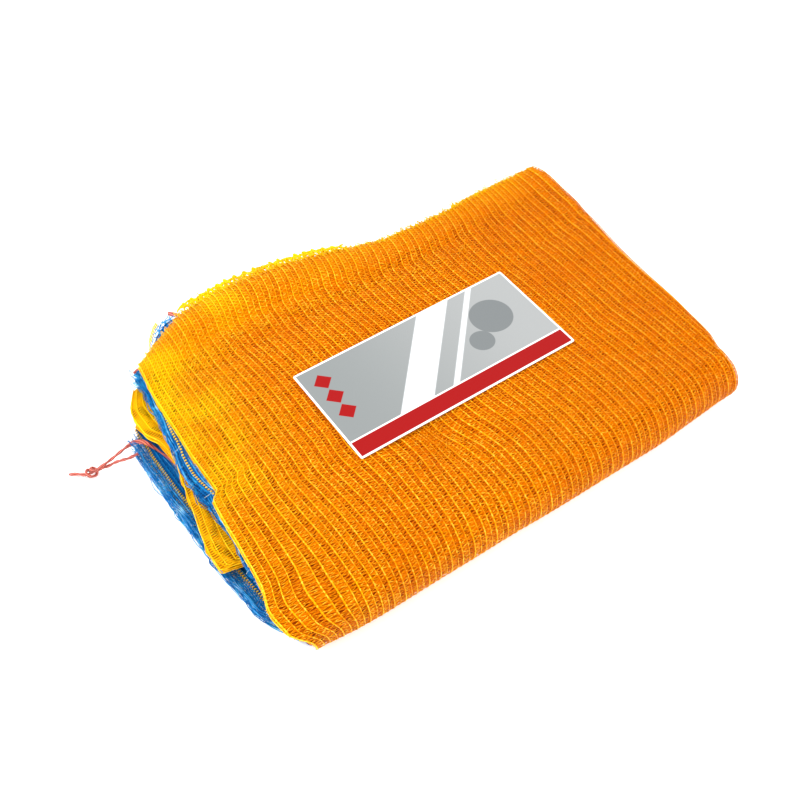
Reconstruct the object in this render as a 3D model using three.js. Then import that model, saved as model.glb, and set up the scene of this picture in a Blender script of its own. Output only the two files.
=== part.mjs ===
// Orange potato net sacks with blue mouth hems, folded together into one flat bundle.
// The outer and the inner sack are each folded once along their length, mouth on bottom seam,
// with the fold at the right end. The stack of both is then folded over at the front.
// A printed card lies on top, and the inner sack's drawstring comes out at the left end.
// Millimetres, +Z up, +X to the right end, -Y to the front fold, the floor at z = 0.

import * as THREE from 'three';

// Outside of the bundle
const bundleLength = 414;
const frontReach = 145;
const backReach = 150;

// Thickness of the four plies that one half of the bundle has, from the outside in
const skinPly = 4.2;
const hemPly = 5.4;
const corePly = 4.2;
const plyGap = 0.4;
const coreGap = 3.2;

// Ribs of the knitted net, which run from the back edge round the front fold
const ribPitch = 10;
const ribHeight = 1.5;

// How far the plies leave the plain box
const leftReach = 28;
const rightBow = 15;
const innerFoldInset = 3;
const backBow = 20;
const frontBow = 6;
const humpHeight = 9;
const creaseDepth = 1.6;
const noseSag = 6;
const ribSway = 7;

// Blue hems at the two mouths
const hemWidth = 30;
const hemWall = 1;
const hemLip = 9;
const hemFlare = 2.4;
const hemRuffle = 2.6;
const ruffleLength = 34;
const hemGap = 0.6;

// Drawstrings
const stringDiameter = 2.6;
const stringInset = 9;
const stringSpacing = 11;
const stringEndMargin = 16;
const stringSides = 8;
const turnSteps = 4;
const exitOverhang = 4;
const longExitY = 87;
const shortExitY = 76;
const stringGap = 0.3;
const knotLength = 10;
const knotDiameter = 8.4;
const knotGap = 0.4;
const knotSides = 10;

// Printed card
const cardLength = 210;
const cardWidth = 99;
const cardThickness = 0.6;
const cardCorner = 1.5;
const cardGap = 0.3;

// Insets of the ply faces from the bundle's outside
const skinInner = skinPly;
const outerHemOuter = skinInner + plyGap;
const outerHemInner = outerHemOuter + hemPly;
const innerHemOuter = outerHemInner + plyGap;
const innerHemInner = innerHemOuter + hemPly;
const coreOuter = innerHemInner + plyGap;
const coreInner = coreOuter + corePly;

const noseRadius = coreInner + coreGap / 2;
const bundleHeight = 2 * noseRadius;
const halfLength = bundleLength / 2;

// The shared columns stay clear of the hems at the left and of the folds at the right
const firstColumnX = hemWidth + hemGap - halfLength;
const lastColumnX = halfLength - rightBow - innerFoldInset - coreInner / 2;

// Rows across the top, from the back edge to where the front fold begins.
// share: of the top's depth. hump: of the hump's height. sway: of the ribs' sway.
const topRows = [
  { share: 0, hump: 0.45, sway: 0.8 },
  { share: 0.04, hump: 0.95, sway: 0.7 },
  { share: 0.09, hump: 0.8, sway: 0.3 },
  { share: 0.14, hump: -0.12, sway: -0.3 },
  { share: 0.24, hump: 0, sway: -0.5 },
  { share: 0.37, hump: 0, sway: -0.1 },
  { share: 0.48, hump: 0, sway: 0 },
  { share: 0.585, hump: 0, sway: 0 },
  { share: 0.61, hump: 0, sway: 0 },
  { share: 0.68, hump: 0, sway: -0.3 },
  { share: 0.76, hump: 0, sway: 0.1 },
  { share: 0.84, hump: 0, sway: 0.6 },
  { share: 0.92, hump: 0, sway: 0.8 },
];
const noseRows = [0, 1 / 6, 2 / 6, 3 / 6, 4 / 6, 5 / 6];
const bottomRows = [0, 0.15, 0.6, 1];
const topSwayAtNose = 0.6;

// Columns across the length. along: of the way between the first and the last shared column.
// back and under: how far the back edge stands out on top and underneath, of its bow.
// front: how far the front fold stands out, of its bow. lift: how much of the hump it has.
const columns = [
  { along: -0.16, back: -1.6, under: -2.8, front: -0.1, lift: 0 },
  { along: -0.08, back: -1.1, under: -1.5, front: 0.1, lift: 0.25 },
  { along: 0, back: 0.4, under: -0.4, front: 0.6, lift: 0.5 },
  { along: 0.08, back: 0.7, under: 0, front: 0.75, lift: 0.9 },
  { along: 0.21, back: 0.85, under: 0, front: 0.75, lift: 1 },
  { along: 0.35, back: 0.68, under: 0, front: 0.8, lift: 0.85 },
  { along: 0.5, back: 0.15, under: 0, front: 0.95, lift: 0.4 },
  { along: 0.64, back: -0.4, under: -0.2, front: 1, lift: 0.2 },
  { along: 0.78, back: -0.4, under: -0.2, front: 1, lift: 0.15 },
  { along: 0.91, back: -0.25, under: -0.2, front: 0.6, lift: 0.1 },
  { along: 1, back: -0.2, under: -0.2, front: 0.2, lift: 0.05 },
];

// Left ends of the plies. run: 0 to 1 over the top, to 2 round the front fold, to 3 underneath.
// skin, hem, core: how far each ply stands out, of the left reach.
const leftEnds = [
  { run: 0, skin: -0.25, hem: 0.05, core: 0.05 },
  { run: 0.09, skin: -0.15, hem: 0.3, core: 0.5 },
  { run: 0.24, skin: -0.07, hem: 0.5, core: 0.7 },
  { run: 0.585, skin: 0, hem: 0.6, core: 0.85 },
  { run: 0.61, skin: 0.29, hem: 0.62, core: 0.87 },
  { run: 0.7, skin: 0.35, hem: 0.66, core: 0.9 },
  { run: 0.78, skin: 0.4, hem: 0.66, core: 0.5 },
  { run: 1, skin: 0.36, hem: 0.55, core: 0.3 },
  { run: 1.5, skin: 0.1, hem: 0.12, core: 0.12 },
  { run: 1.67, skin: 0.03, hem: 0.05, core: 0.12 },
  { run: 1.83, skin: -0.08, hem: 0.15, core: 0.2 },
  { run: 2, skin: -0.2, hem: 0.5, core: 0.35 },
  { run: 2.15, skin: -0.1, hem: 0.88, core: 0.6 },
  { run: 2.6, skin: 0, hem: 0.93, core: 0.75 },
  { run: 3, skin: -0.1, hem: 1, core: 0.6 },
];

// Right fold. reach: how far it stands out, of its bow.
const rightEnds = [
  { run: 0, reach: 1.1 },
  { run: 0.06, reach: 1.4 },
  { run: 0.2, reach: 1.25 },
  { run: 0.36, reach: 0.8 },
  { run: 0.52, reach: 0.4 },
  { run: 0.76, reach: 0.2 },
  { run: 0.92, reach: -0.1 },
  { run: 1, reach: -0.5 },
  { run: 1.5, reach: -0.35 },
  { run: 2, reach: -0.3 },
  { run: 3, reach: 0.5 },
];

// Creases pressed into the top. Ends and width are shares of half the length and of the back
// reach, depth a share of the crease depth.
const creases = [
  { x1: -0.75, y1: 0.72, x2: 0.45, y2: 0.74, width: 0.06, depth: 0.9 },
  { x1: 0.5, y1: 0.3, x2: 1.05, y2: 0.46, width: 0.07, depth: 1 },
  { x1: -1, y1: 0.12, x2: -0.55, y2: 0.05, width: 0.08, depth: 0.8 },
  { x1: -1, y1: -0.12, x2: -0.6, y2: -0.3, width: 0.07, depth: 0.8 },
  { x1: -0.36, y1: -0.36, x2: -0.14, y2: -0.72, width: 0.06, depth: 1 },
  { x1: -0.28, y1: -0.34, x2: -0.02, y2: -0.66, width: 0.05, depth: 0.7 },
  { x1: 0.55, y1: -0.5, x2: 0.9, y2: -0.75, width: 0.07, depth: 0.7 },
];

// Corners round a fold, and the difference below which two x count as one
const foldSteps = 4;
const sameX = 0.001;

function mix(from, to, share) {
  return from + (to - from) * share;
}

// Value of a table's column where its key column has the given place, straight between rows.
function readTable(rows, key, column, place) {
  if (place <= rows[0][key]) return rows[0][column];
  for (let i = 1; i < rows.length; i += 1) {
    const before = rows[i - 1];
    const after = rows[i];
    if (place <= after[key]) {
      const share = (place - before[key]) / (after[key] - before[key]);
      return mix(before[column], after[column], share);
    }
  }
  return rows[rows.length - 1][column];
}

// Stations along the folded section: over the top, round the front fold and underneath
function makeStations() {
  const top = topRows.map((row) => ({ part: 'top', run: row.share, ribs: 1, ...row }));
  const nose = noseRows.map((share) => ({
    part: 'nose',
    share,
    run: 1 + share,
    hump: 0,
    sway: topSwayAtNose * (1 - share),
    ribs: Math.min(1, 2 - 2 * share),
  }));
  const bottom = bottomRows.map((share) => ({
    part: 'bottom',
    share,
    run: 2 + share,
    hump: 0,
    sway: 0,
    ribs: 0,
  }));
  return [...top, ...nose, ...bottom];
}

const stations = makeStations();
const lastStation = stations.length - 1;

function columnAt(x) {
  return (x - firstColumnX) / (lastColumnX - firstColumnX);
}

function backEdgeY(x, side) {
  return backReach + backBow * readTable(columns, 'along', side, columnAt(x));
}

// Middle of the round of the front fold
function foldMiddleY(x) {
  return noseRadius - frontReach - frontBow * readTable(columns, 'along', 'front', columnAt(x));
}

// Depth of the creases at a place on the top: each falls away as a bell from its line.
function creaseAt(x, y) {
  let depth = 0;
  for (const crease of creases) {
    const ax = crease.x1 * halfLength;
    const ay = crease.y1 * backReach;
    const dx = crease.x2 * halfLength - ax;
    const dy = crease.y2 * backReach - ay;
    const along = ((x - ax) * dx + (y - ay) * dy) / (dx * dx + dy * dy);
    const near = Math.min(1, Math.max(0, along));
    const away = Math.hypot(x - ax - dx * near, y - ay - dy * near);
    const width = crease.width * backReach;
    depth = Math.max(depth, creaseDepth * crease.depth * Math.exp(-((away / width) ** 2)));
  }
  return depth;
}

// The underside of the front fold lies further forward than its top, by the sag.
function sagAt(z) {
  return noseSag * (1 - z / bundleHeight);
}

// Place of a corner at x, at an inset from the outside, on a whole station.
// Lifts fade to nothing at the innermost face, and creases at the outer sack's inner face.
function cornerOnStation(x, inset, station) {
  const across = Math.max(-1, Math.min(1, x / halfLength));
  const swayed = x + ribSway * station.sway * (1 - across * across);
  if (station.part === 'top') {
    const y = mix(backEdgeY(x, 'back'), foldMiddleY(x), station.share);
    const lift = humpHeight * station.hump * readTable(columns, 'along', 'lift', columnAt(x));
    const pressed = creaseAt(x, y) * Math.max(0, 1 - inset / outerHemInner);
    const z = bundleHeight - inset;
    return [swayed, y - sagAt(z), z + lift * (1 - inset / coreInner) - pressed];
  }
  if (station.part === 'nose') {
    const turn = Math.PI * station.share;
    const radius = noseRadius - inset;
    const z = noseRadius + radius * Math.cos(turn);
    return [swayed, foldMiddleY(x) - radius * Math.sin(turn) - sagAt(z), z];
  }
  const y = mix(foldMiddleY(x), backEdgeY(x, 'under'), station.share);
  return [swayed, y - sagAt(inset), inset];
}

// The same for a place between two stations, on the straight line that joins them
function corner(x, inset, place) {
  const first = Math.min(lastStation - 1, Math.max(0, Math.floor(place)));
  const share = place - first;
  const before = cornerOnStation(x, inset, stations[first]);
  const after = cornerOnStation(x, inset, stations[first + 1]);
  return before.map((value, axis) => mix(value, after[axis], share));
}

function leftEnd(ply, run) {
  return -halfLength - leftReach * readTable(leftEnds, 'run', ply, run);
}

// Left end of a ply between two stations, on the straight line that joins its ends there
function leftEndAt(ply, place) {
  const first = Math.min(lastStation - 1, Math.max(0, Math.floor(place)));
  const before = leftEnd(ply, stations[first].run);
  return mix(before, leftEnd(ply, stations[first + 1].run), place - first);
}

function rightEnd(run) {
  return halfLength + rightBow * readTable(rightEnds, 'run', 'reach', run);
}

// Faces between two chains of corners that run the same way, joined in the order of their x
function stripFaces(flat, outer, inner) {
  const faces = [];
  let i = 0;
  let j = 0;
  while (i + 1 < outer.length || j + 1 < inner.length) {
    const outerNext = i + 1 < outer.length ? flat[outer[i + 1]][0] : Infinity;
    const innerNext = j + 1 < inner.length ? flat[inner[j + 1]][0] : Infinity;
    if (outerNext < innerNext) {
      faces.push([outer[i], outer[i + 1], inner[j]]);
      i += 1;
    } else {
      faces.push([outer[i], inner[j + 1], inner[j]]);
      j += 1;
    }
  }
  return faces;
}

// Whether a flat section rises from one corner to another, in x first and then in depth
function rises(from, to) {
  const step = to[0] - from[0];
  return Math.abs(step) > sameX ? step > 0 : to[1] > from[1];
}

// Closed body through sections of equal length, whose flat forms are given too. Each side face is
// split from its high corner on this section to its low one on the next, so that two facing
// plies have the same facets. capFaces fill the first section, and turned over, the last.
function loft(sections, flats, capFaces) {
  const count = sections[0].length;
  const faces = [];
  for (let i = 0; i + 1 < sections.length; i += 1) {
    for (let j = 0; j < count; j += 1) {
      const next = (j + 1) % count;
      const here = i * count;
      const there = here + count;
      const corners = [here + j, there + j, there + next, here + next];
      const rising = rises(flats[i][j], flats[i][next]);
      const [a, b, c, d] = rising ? corners : [corners[1], corners[2], corners[3], corners[0]];
      faces.push(a, b, d, d, b, c);
    }
  }
  const lastRing = (sections.length - 1) * count;
  for (const [a, b, c] of capFaces) {
    faces.push(a, b, c, lastRing + a, lastRing + c, lastRing + b);
  }
  const geometry = new THREE.BufferGeometry();
  geometry.setAttribute('position', new THREE.Float32BufferAttribute(sections.flat(2), 3));
  geometry.setIndex(faces);
  return geometry;
}

function fanFaces(count) {
  const faces = [];
  for (let i = 1; i + 1 < count; i += 1) faces.push([0, i, i + 1]);
  return faces;
}

function indexRun(from, to) {
  const step = from < to ? 1 : -1;
  return Array.from({ length: Math.abs(to - from) + 1 }, (unused, i) => from + step * i);
}

// Columns that all faces have; the rows left of them only shape the back edge's corner
const sharedColumns = columns.filter((column) => column.along >= 0);

// Corners of one face of a ply from its left end to the fold, by the shared columns
function faceCorners(left, right, inset) {
  const inner = sharedColumns.map((column) => mix(firstColumnX, lastColumnX, column.along));
  return [left, ...inner, right].map((x) => [x, inset]);
}

// Round of a fold at the right end, from one inset to a deeper one
function foldCorners(x, from, to, steps) {
  const radius = (to - from) / 2;
  const corners = [];
  for (let i = 1; i < steps; i += 1) {
    const turn = (Math.PI * i) / steps;
    corners.push([x + radius * Math.sin(turn), from + radius - radius * Math.cos(turn)]);
  }
  return corners;
}

// Outer face with one crest and one valley for each rib
function ribbedCorners(left, right, ribs) {
  const count = 2 * Math.round(bundleLength / ribPitch);
  const corners = [];
  for (let i = 0; i <= count; i += 1) {
    corners.push([mix(left, right, i / count), i % 2 ? 0 : ribHeight * ribs]);
  }
  return corners;
}

// A sack folded once: a ply that ends at its hem and one that ends at its bottom seam, joined by
// the fold. Each chain of corners runs from the left end to the fold.
function sackSection(chains, foldX) {
  const fold = foldCorners(foldX, chains.outerFace[0][1], chains.innerFace[0][1], foldSteps);
  const inward = [...chains.innerFace].reverse();
  const outward = [...chains.outerSlot].reverse();
  return [...chains.outerFace, ...fold, ...inward, ...chains.innerSlot, ...outward];
}

// Faces that fill such a section: a strip for each ply and a fan for the fold
function sackCap(flat, chains) {
  const outerEnd = chains.outerFace.length - 1;
  const innerStart = outerEnd + foldSteps;
  const innerEnd = innerStart + chains.innerFace.length - 1;
  const innerSlotEnd = innerEnd + chains.innerSlot.length;
  const last = innerSlotEnd + chains.outerSlot.length;
  const outerPly = stripFaces(flat, indexRun(0, outerEnd), indexRun(last, innerSlotEnd + 1));
  const innerSlot = indexRun(innerEnd + 1, innerSlotEnd);
  const innerPly = stripFaces(flat, innerSlot, indexRun(innerEnd, innerStart));
  const fold = [];
  for (let i = outerEnd; i < innerStart; i += 1) fold.push([i, i + 1, innerSlotEnd + 1]);
  fold.push([innerStart, innerSlotEnd, innerSlotEnd + 1]);
  return [...outerPly, ...innerPly, ...fold];
}

// Outer sack: the ribbed skin, round the fold and back as the mouth ply, which ends at its hem
function outerSack(station) {
  const foldX = rightEnd(station.run) - outerHemInner / 2;
  const skinLeft = leftEnd('skin', station.run);
  const mouthLeft = leftEnd('hem', station.run) + hemWidth + hemGap;
  const chains = {
    outerFace: ribbedCorners(skinLeft, foldX, station.ribs),
    innerFace: faceCorners(mouthLeft, foldX, outerHemInner),
    innerSlot: faceCorners(mouthLeft, foldX, outerHemOuter),
    outerSlot: faceCorners(skinLeft, foldX, skinInner),
  };
  return { chains, foldX };
}

// Inner sack: its mouth ply lies against the outer sack's, and its bottom ply is the core
function innerSack(station) {
  const foldX = rightEnd(station.run) - innerFoldInset - (coreInner - innerHemOuter) / 2;
  const coreLeft = leftEnd('core', station.run);
  const mouthLeft = leftEnd('hem', station.run) + hemWidth + hemGap;
  const chains = {
    outerFace: faceCorners(mouthLeft, foldX, innerHemOuter),
    innerFace: faceCorners(coreLeft, foldX, coreInner),
    innerSlot: faceCorners(coreLeft, foldX, coreOuter),
    outerSlot: faceCorners(mouthLeft, foldX, innerHemInner),
  };
  return { chains, foldX };
}

function sackBody(sackAt) {
  const sacks = stations.map(sackAt);
  const flats = sacks.map((sack) => sackSection(sack.chains, sack.foldX));
  const sections = flats.map((flat, place) => flat.map(([x, inset]) => corner(x, inset, place)));
  return loft(sections, flats, sackCap(flats[0], sacks[0].chains));
}

// Lengths along the section at the depth of a hem, and the way back to a station
function stationLengths(inset) {
  const lengths = [0];
  for (let i = 1; i <= lastStation; i += 1) {
    const [, y1, z1] = corner(leftEnd('hem', stations[i - 1].run), inset, i - 1);
    const [, y2, z2] = corner(leftEnd('hem', stations[i].run), inset, i);
    lengths.push(lengths[i - 1] + Math.hypot(y2 - y1, z2 - z1));
  }
  return lengths;
}

function placeAtLength(lengths, length) {
  let first = 0;
  while (first < lastStation - 1 && lengths[first + 1] < length) first += 1;
  return first + (length - lengths[first]) / (lengths[first + 1] - lengths[first]);
}

// Faces that fill a hem's section: its outer lip and wall, its closed side, its inner wall
const hemCap = [
  [0, 1, 8],
  [0, 8, 9],
  [1, 2, 7],
  [1, 7, 8],
  [2, 3, 6],
  [2, 6, 7],
  [3, 4, 5],
  [3, 5, 6],
];

// Hem: a flattened sleeve, open to the left, whose two lips are ruffled.
// Only the outer sack's hem has room to lift its outer lip, by flare, and only where it stands
// clear of the skin above it.
function hem(outer, flare) {
  const inner = outer + hemPly;
  const lengths = stationLengths(outer);
  const sections = [];
  const flats = [];
  for (let step = 0; step <= 2 * lastStation; step += 1) {
    const place = step / 2;
    const left = leftEndAt('hem', place);
    const right = left + hemWidth;
    const shown = (leftEndAt('skin', place) - left - hemLip) / hemLip;
    const lift = flare * Math.max(0, Math.min(1, shown));
    const first = Math.floor(place);
    const along = mix(lengths[first], lengths[Math.min(first + 1, lastStation)], place - first);
    const wave = (2 * Math.PI * along) / ruffleLength;
    const outerLip = left + hemRuffle * Math.sin(wave);
    const innerLip = left + hemRuffle * Math.sin(wave * 1.3 + 2);
    const raised = outer - lift * (0.5 + 0.5 * Math.cos(wave * 0.8));
    const outline = [
      [outerLip, raised],
      [left + hemLip, outer],
      [right, outer],
      [right, inner],
      [innerLip, inner],
      [innerLip, inner - hemWall],
      [right - hemWall, inner - hemWall],
      [right - hemWall, outer + hemWall],
      [left + hemLip, outer + hemWall],
      [outerLip, raised + hemWall],
    ];
    flats.push(outline);
    sections.push(outline.map(([x, inset]) => corner(x, inset, place)));
  }
  return loft(sections, flats, hemCap);
}

// Part of a turn of a path in the hem's flat form, as points of offset from the lip and length
function turnPoints(offset, length, from, to) {
  const radius = stringSpacing / 2;
  const points = [];
  for (let i = 0; i <= turnSteps; i += 1) {
    const angle = mix(from, to, i / turnSteps);
    points.push([offset + radius * Math.cos(angle), length + radius * Math.sin(angle)]);
  }
  return points;
}

function straightRun(lengths, offset, from, to) {
  const low = Math.min(from, to) + stringDiameter / 2;
  const high = Math.max(from, to) - stringDiameter / 2;
  const between = lengths.filter((length) => length > low && length < high);
  if (to < from) between.reverse();
  return between.map((length) => [offset, length]);
}

// Drawstring held in its hem: round the whole flattened mouth, out and back in two runs.
// exits are the two lengths where its ends leave the hem, or nothing where they stay inside.
function heldString(outer, exits) {
  const lengths = stationLengths(outer);
  const near = stringInset;
  const far = stringInset + stringSpacing;
  const turn = stringSpacing / 2;
  const start = stringEndMargin;
  const end = lengths[lastStation] - stringEndMargin;
  const farEnd = exits ? exits.back - turn : end;
  const nearEnd = exits ? exits.front - turn : end;
  const quarter = Math.PI / 2;
  const path = exits ? [[-exitOverhang, exits.back]] : [];
  if (exits) path.push(...turnPoints(far - turn, farEnd, quarter, 0));
  else path.push([far, farEnd]);
  path.push(...straightRun(lengths, far, farEnd, start));
  path.push(...turnPoints(near + turn, start, 0, -2 * quarter));
  path.push(...straightRun(lengths, near, start, nearEnd));
  if (exits) {
    path.push(...turnPoints(near - turn, nearEnd, 0, quarter), [-exitOverhang, exits.front]);
  } else {
    path.push([near, nearEnd]);
  }
  return sweepInHem(path, lengths, outer + hemPly / 2);
}

// Round tube along a flat path, with each ring square to the path, bent round the bundle
function sweepInHem(path, lengths, middle) {
  const points = path.filter((point, i) => {
    const before = path[i - 1];
    return i === 0 || Math.hypot(point[0] - before[0], point[1] - before[1]) > stringGap;
  });
  const circle = [];
  for (let k = 0; k < stringSides; k += 1) {
    const angle = (2 * Math.PI * k) / stringSides;
    circle.push([Math.cos(angle), Math.sin(angle)]);
  }
  const radius = stringDiameter / 2;
  const sections = points.map((point, i) => {
    const before = points[Math.max(0, i - 1)];
    const after = points[Math.min(points.length - 1, i + 1)];
    const size = Math.hypot(after[0] - before[0], after[1] - before[1]);
    const side = [(after[1] - before[1]) / size, (before[0] - after[0]) / size];
    return circle.map(([across, down]) => {
      const length = point[1] + radius * across * side[1];
      const place = placeAtLength(lengths, length);
      const x = leftEndAt('hem', place) + point[0] + radius * across * side[0];
      return corner(x, middle + radius * down, place);
    });
  });
  return loft(sections, sections.map(() => circle), fanFaces(stringSides));
}

// Length along the hem at which the underside reaches a given y
function lengthAtBottomY(lengths, y, inset) {
  const firstBottom = stations.findIndex((station) => station.part === 'bottom');
  return lengths[firstBottom] + y + sagAt(inset) - foldMiddleY(leftEnd('hem', 2));
}

// Free strands, as steps from the exit: left, back and up. The long one goes on through the knot
// to its cut end, and the short one stops at the knot.
const longRoute = [
  { left: 0, back: 0, up: 0 },
  { left: 4.5, back: -0.3, up: -0.9 },
  { left: 11.5, back: -0.8, up: -2.9 },
  { left: 18, back: -1.1, up: -4.7 },
  { left: 23, back: -1.1, up: -6 },
  { left: 27, back: -0.9, up: -6.9 },
  { left: 31, back: -0.5, up: -7.8, knot: true },
  { left: 35.5, back: 0, up: -8.7 },
  { left: 39, back: 3, up: -9.5 },
  { left: 42, back: 6.6, up: -10.5 },
  { left: 47, back: 10.5, up: -11.5 },
];
const knotAt = longRoute.findIndex((step) => step.knot);
const shortRoute = [
  { left: 0, back: 0, up: 0 },
  { left: 3.5, back: 0.4, up: -0.4 },
  { left: 8, back: 3.2, up: -2.4 },
  { left: 13, back: 6.6, up: -5.3 },
  { left: 18.5, back: 8.6, up: -8 },
  { left: 24.6, back: 9.6, up: -10 },
];
const strandStepsPerPoint = 2;

function routePoints(exit, route) {
  const [x, y, z] = exit;
  return route.map((step) => new THREE.Vector3(x - step.left, y + step.back, z + step.up));
}

function freeStrand(points) {
  const circle = new THREE.Shape();
  circle.absarc(0, 0, stringDiameter / 2, 0, 2 * Math.PI);
  return new THREE.ExtrudeGeometry(circle, {
    curveSegments: stringSides / 2,
    steps: strandStepsPerPoint * (points.length - 1),
    extrudePath: new THREE.CatmullRomCurve3(points),
    bevelEnabled: false,
  });
}

// Knot: a thick ring round the long strand, its section rounded
function knotRing() {
  const bore = stringDiameter / 2 + knotGap;
  const half = knotLength / 2;
  const outside = knotDiameter / 2;
  const profile = [
    [bore, -half],
    [mix(bore, outside, 0.7), -half * 0.9],
    [outside, -half * 0.4],
    [outside, half * 0.4],
    [mix(bore, outside, 0.7), half * 0.9],
    [bore, half],
    [bore, -half],
  ].map(([x, y]) => new THREE.Vector2(x, y));
  return new THREE.LatheGeometry(profile, knotSides);
}

function roundedCard() {
  const card = new THREE.Shape();
  const x = cardLength / 2;
  const y = cardWidth / 2;
  const quarter = Math.PI / 2;
  card.absarc(x - cardCorner, y - cardCorner, cardCorner, 0, quarter);
  card.absarc(cardCorner - x, y - cardCorner, cardCorner, quarter, 2 * quarter);
  card.absarc(cardCorner - x, cardCorner - y, cardCorner, 2 * quarter, 3 * quarter);
  card.absarc(x - cardCorner, cardCorner - y, cardCorner, 3 * quarter, 4 * quarter);
  const sheet = { depth: cardThickness, bevelEnabled: false, curveSegments: 2 };
  return new THREE.ExtrudeGeometry(card, sheet);
}

const orangeNet = new THREE.MeshStandardMaterial({ color: 0xf99a12, roughness: 0.55 });
const innerNet = new THREE.MeshStandardMaterial({ color: 0xe88a10, roughness: 0.6 });
const blueNet = new THREE.MeshStandardMaterial({ color: 0x0a69c3, roughness: 0.55 });
const salmonString = new THREE.MeshStandardMaterial({ color: 0xd96f60, roughness: 0.6 });
const printedCard = new THREE.MeshStandardMaterial({ color: 0xc8c8cc, roughness: 0.4 });

const bundle = new THREE.Group();

function addPiece(name, geometry, material) {
  const mesh = new THREE.Mesh(geometry, material);
  mesh.name = name;
  bundle.add(mesh);
  return mesh;
}

addPiece('outer_sack_net', sackBody(outerSack), orangeNet);
addPiece('inner_sack_net', sackBody(innerSack), innerNet);
addPiece('outer_sack_mouth_hem', hem(outerHemOuter, hemFlare), blueNet);
addPiece('inner_sack_mouth_hem', hem(innerHemOuter, 0), blueNet);
addPiece('outer_sack_drawstring', heldString(outerHemOuter, null), salmonString);

const innerLengths = stationLengths(innerHemOuter);
const exits = {
  back: lengthAtBottomY(innerLengths, longExitY, innerHemOuter),
  front: lengthAtBottomY(innerLengths, shortExitY, innerHemOuter),
};
addPiece('inner_sack_drawstring', heldString(innerHemOuter, exits), salmonString);

// Where a strand leaves the hem, a gap past the held string's end
function exitPoint(length) {
  const place = placeAtLength(innerLengths, length);
  const x = leftEndAt('hem', place) - exitOverhang - stringGap;
  return corner(x, innerHemOuter + hemPly / 2, place);
}

const longPoints = routePoints(exitPoint(exits.back), longRoute);
const shortPoints = routePoints(exitPoint(exits.front), shortRoute);
addPiece('drawstring_long_end', freeStrand(longPoints), salmonString);
addPiece('drawstring_short_end', freeStrand(shortPoints), salmonString);

const knot = addPiece('drawstring_knot', knotRing(), salmonString);
knot.position.copy(longPoints[knotAt]);
const knotDirection = longPoints[knotAt + 1].clone().sub(longPoints[knotAt - 1]).normalize();
knot.quaternion.setFromUnitVectors(new THREE.Vector3(0, 1, 0), knotDirection);

const card = addPiece('label_card', roundedCard(), printedCard);
card.position.z = bundleHeight + cardGap;

export default bundle;
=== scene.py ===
"""Folded bundle of orange net potato sacks with blue mouth hems, a drawstring and a printed card.

Metres, in the frame of the solids: +X to the right end, -Y to the front fold, +Z up, floor at 0.
A place on the bundle has three numbers: x across it, inset below its outside, and run along it,
which goes from 0 to 1 over the top, to 2 round the front fold and to 3 underneath.
"""

import bpy
import numpy as np
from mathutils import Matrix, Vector


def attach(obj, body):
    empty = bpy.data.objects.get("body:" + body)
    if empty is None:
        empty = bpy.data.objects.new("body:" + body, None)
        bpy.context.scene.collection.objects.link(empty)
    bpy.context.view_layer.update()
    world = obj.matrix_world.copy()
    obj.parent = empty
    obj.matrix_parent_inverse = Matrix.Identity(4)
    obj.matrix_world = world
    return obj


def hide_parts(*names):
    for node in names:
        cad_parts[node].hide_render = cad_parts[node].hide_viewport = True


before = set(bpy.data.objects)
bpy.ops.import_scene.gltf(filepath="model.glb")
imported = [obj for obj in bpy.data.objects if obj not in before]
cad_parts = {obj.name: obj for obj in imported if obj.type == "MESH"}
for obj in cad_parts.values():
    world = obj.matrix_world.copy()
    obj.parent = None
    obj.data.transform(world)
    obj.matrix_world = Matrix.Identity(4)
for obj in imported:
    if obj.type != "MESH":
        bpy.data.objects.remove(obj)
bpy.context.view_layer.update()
rng = np.random.default_rng(11)

# Outside of the bundle
HALF_LENGTH = 0.207
FRONT_REACH = 0.145
BACK_REACH = 0.150

# Insets of the plies' faces
OUTER_HEM_OUTER = 0.0046
OUTER_HEM_INNER = 0.0100
INNER_HEM_OUTER = 0.0104
INNER_HEM_INNER = 0.0158
CORE_INNER = 0.0204
NOSE_RADIUS = 0.0220
HEIGHT = 2 * NOSE_RADIUS

# Ribs and stitches of the knit. The fine wale and the channel's ends lie at shares of a pitch
RIB_PITCH = 0.0101
CHANNEL_DEPTH = 0.55 * 0.0015
STITCH = 0.0025
FINE_WALE = 0.54
WEFT_STEP = 0.0017
CHANNEL_SLOPE = 0.16
CHANNEL_END = 0.86
SOFT_RELIEF = 0.0004
CARD_PRESS = 0.0006
CARD_PRESS_EDGE = (-0.001, 0.004)

# Strands of the knit: half width, half height and how high they lie over its face
MAIN_WALE = (0.00062, 0.00055, 0.0002)
FINE_WALE_STRAND = (0.00052, 0.0005, 0.0001)
RIB_WEFT = (0.00036, 0.00018, -0.0001)
CHANNEL_WEFT = (0.00034, 0.00018, -0.0002)
INNER_WALE = (0.00045, 0.0005, -0.0044)
INNER_WEFT = (0.00022, 0.00016, -0.0044)
HEM_WALE = (0.00045, 0.00045, 0.0)
HEM_WEFT = (0.00024, 0.00018, 0.0)
LOBE_WALE = (0.00045, 0.00045, 0.0006)
LOBE_EDGE_WALE = (0.0008, 0.0006, 0.0003)
STRAND_SWELL = 0.22

# Cords along the sacks' left edges: shift across, half size and height
OUTER_EDGE = ((0.0, 0.0007, 0.0), (-0.0010, 0.0006, -0.0024), (-0.0004, 0.0006, -0.0036))
INNER_EDGE = ((0.0, 0.0007, 0.0), (0.0, 0.0006, -0.0040))

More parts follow.
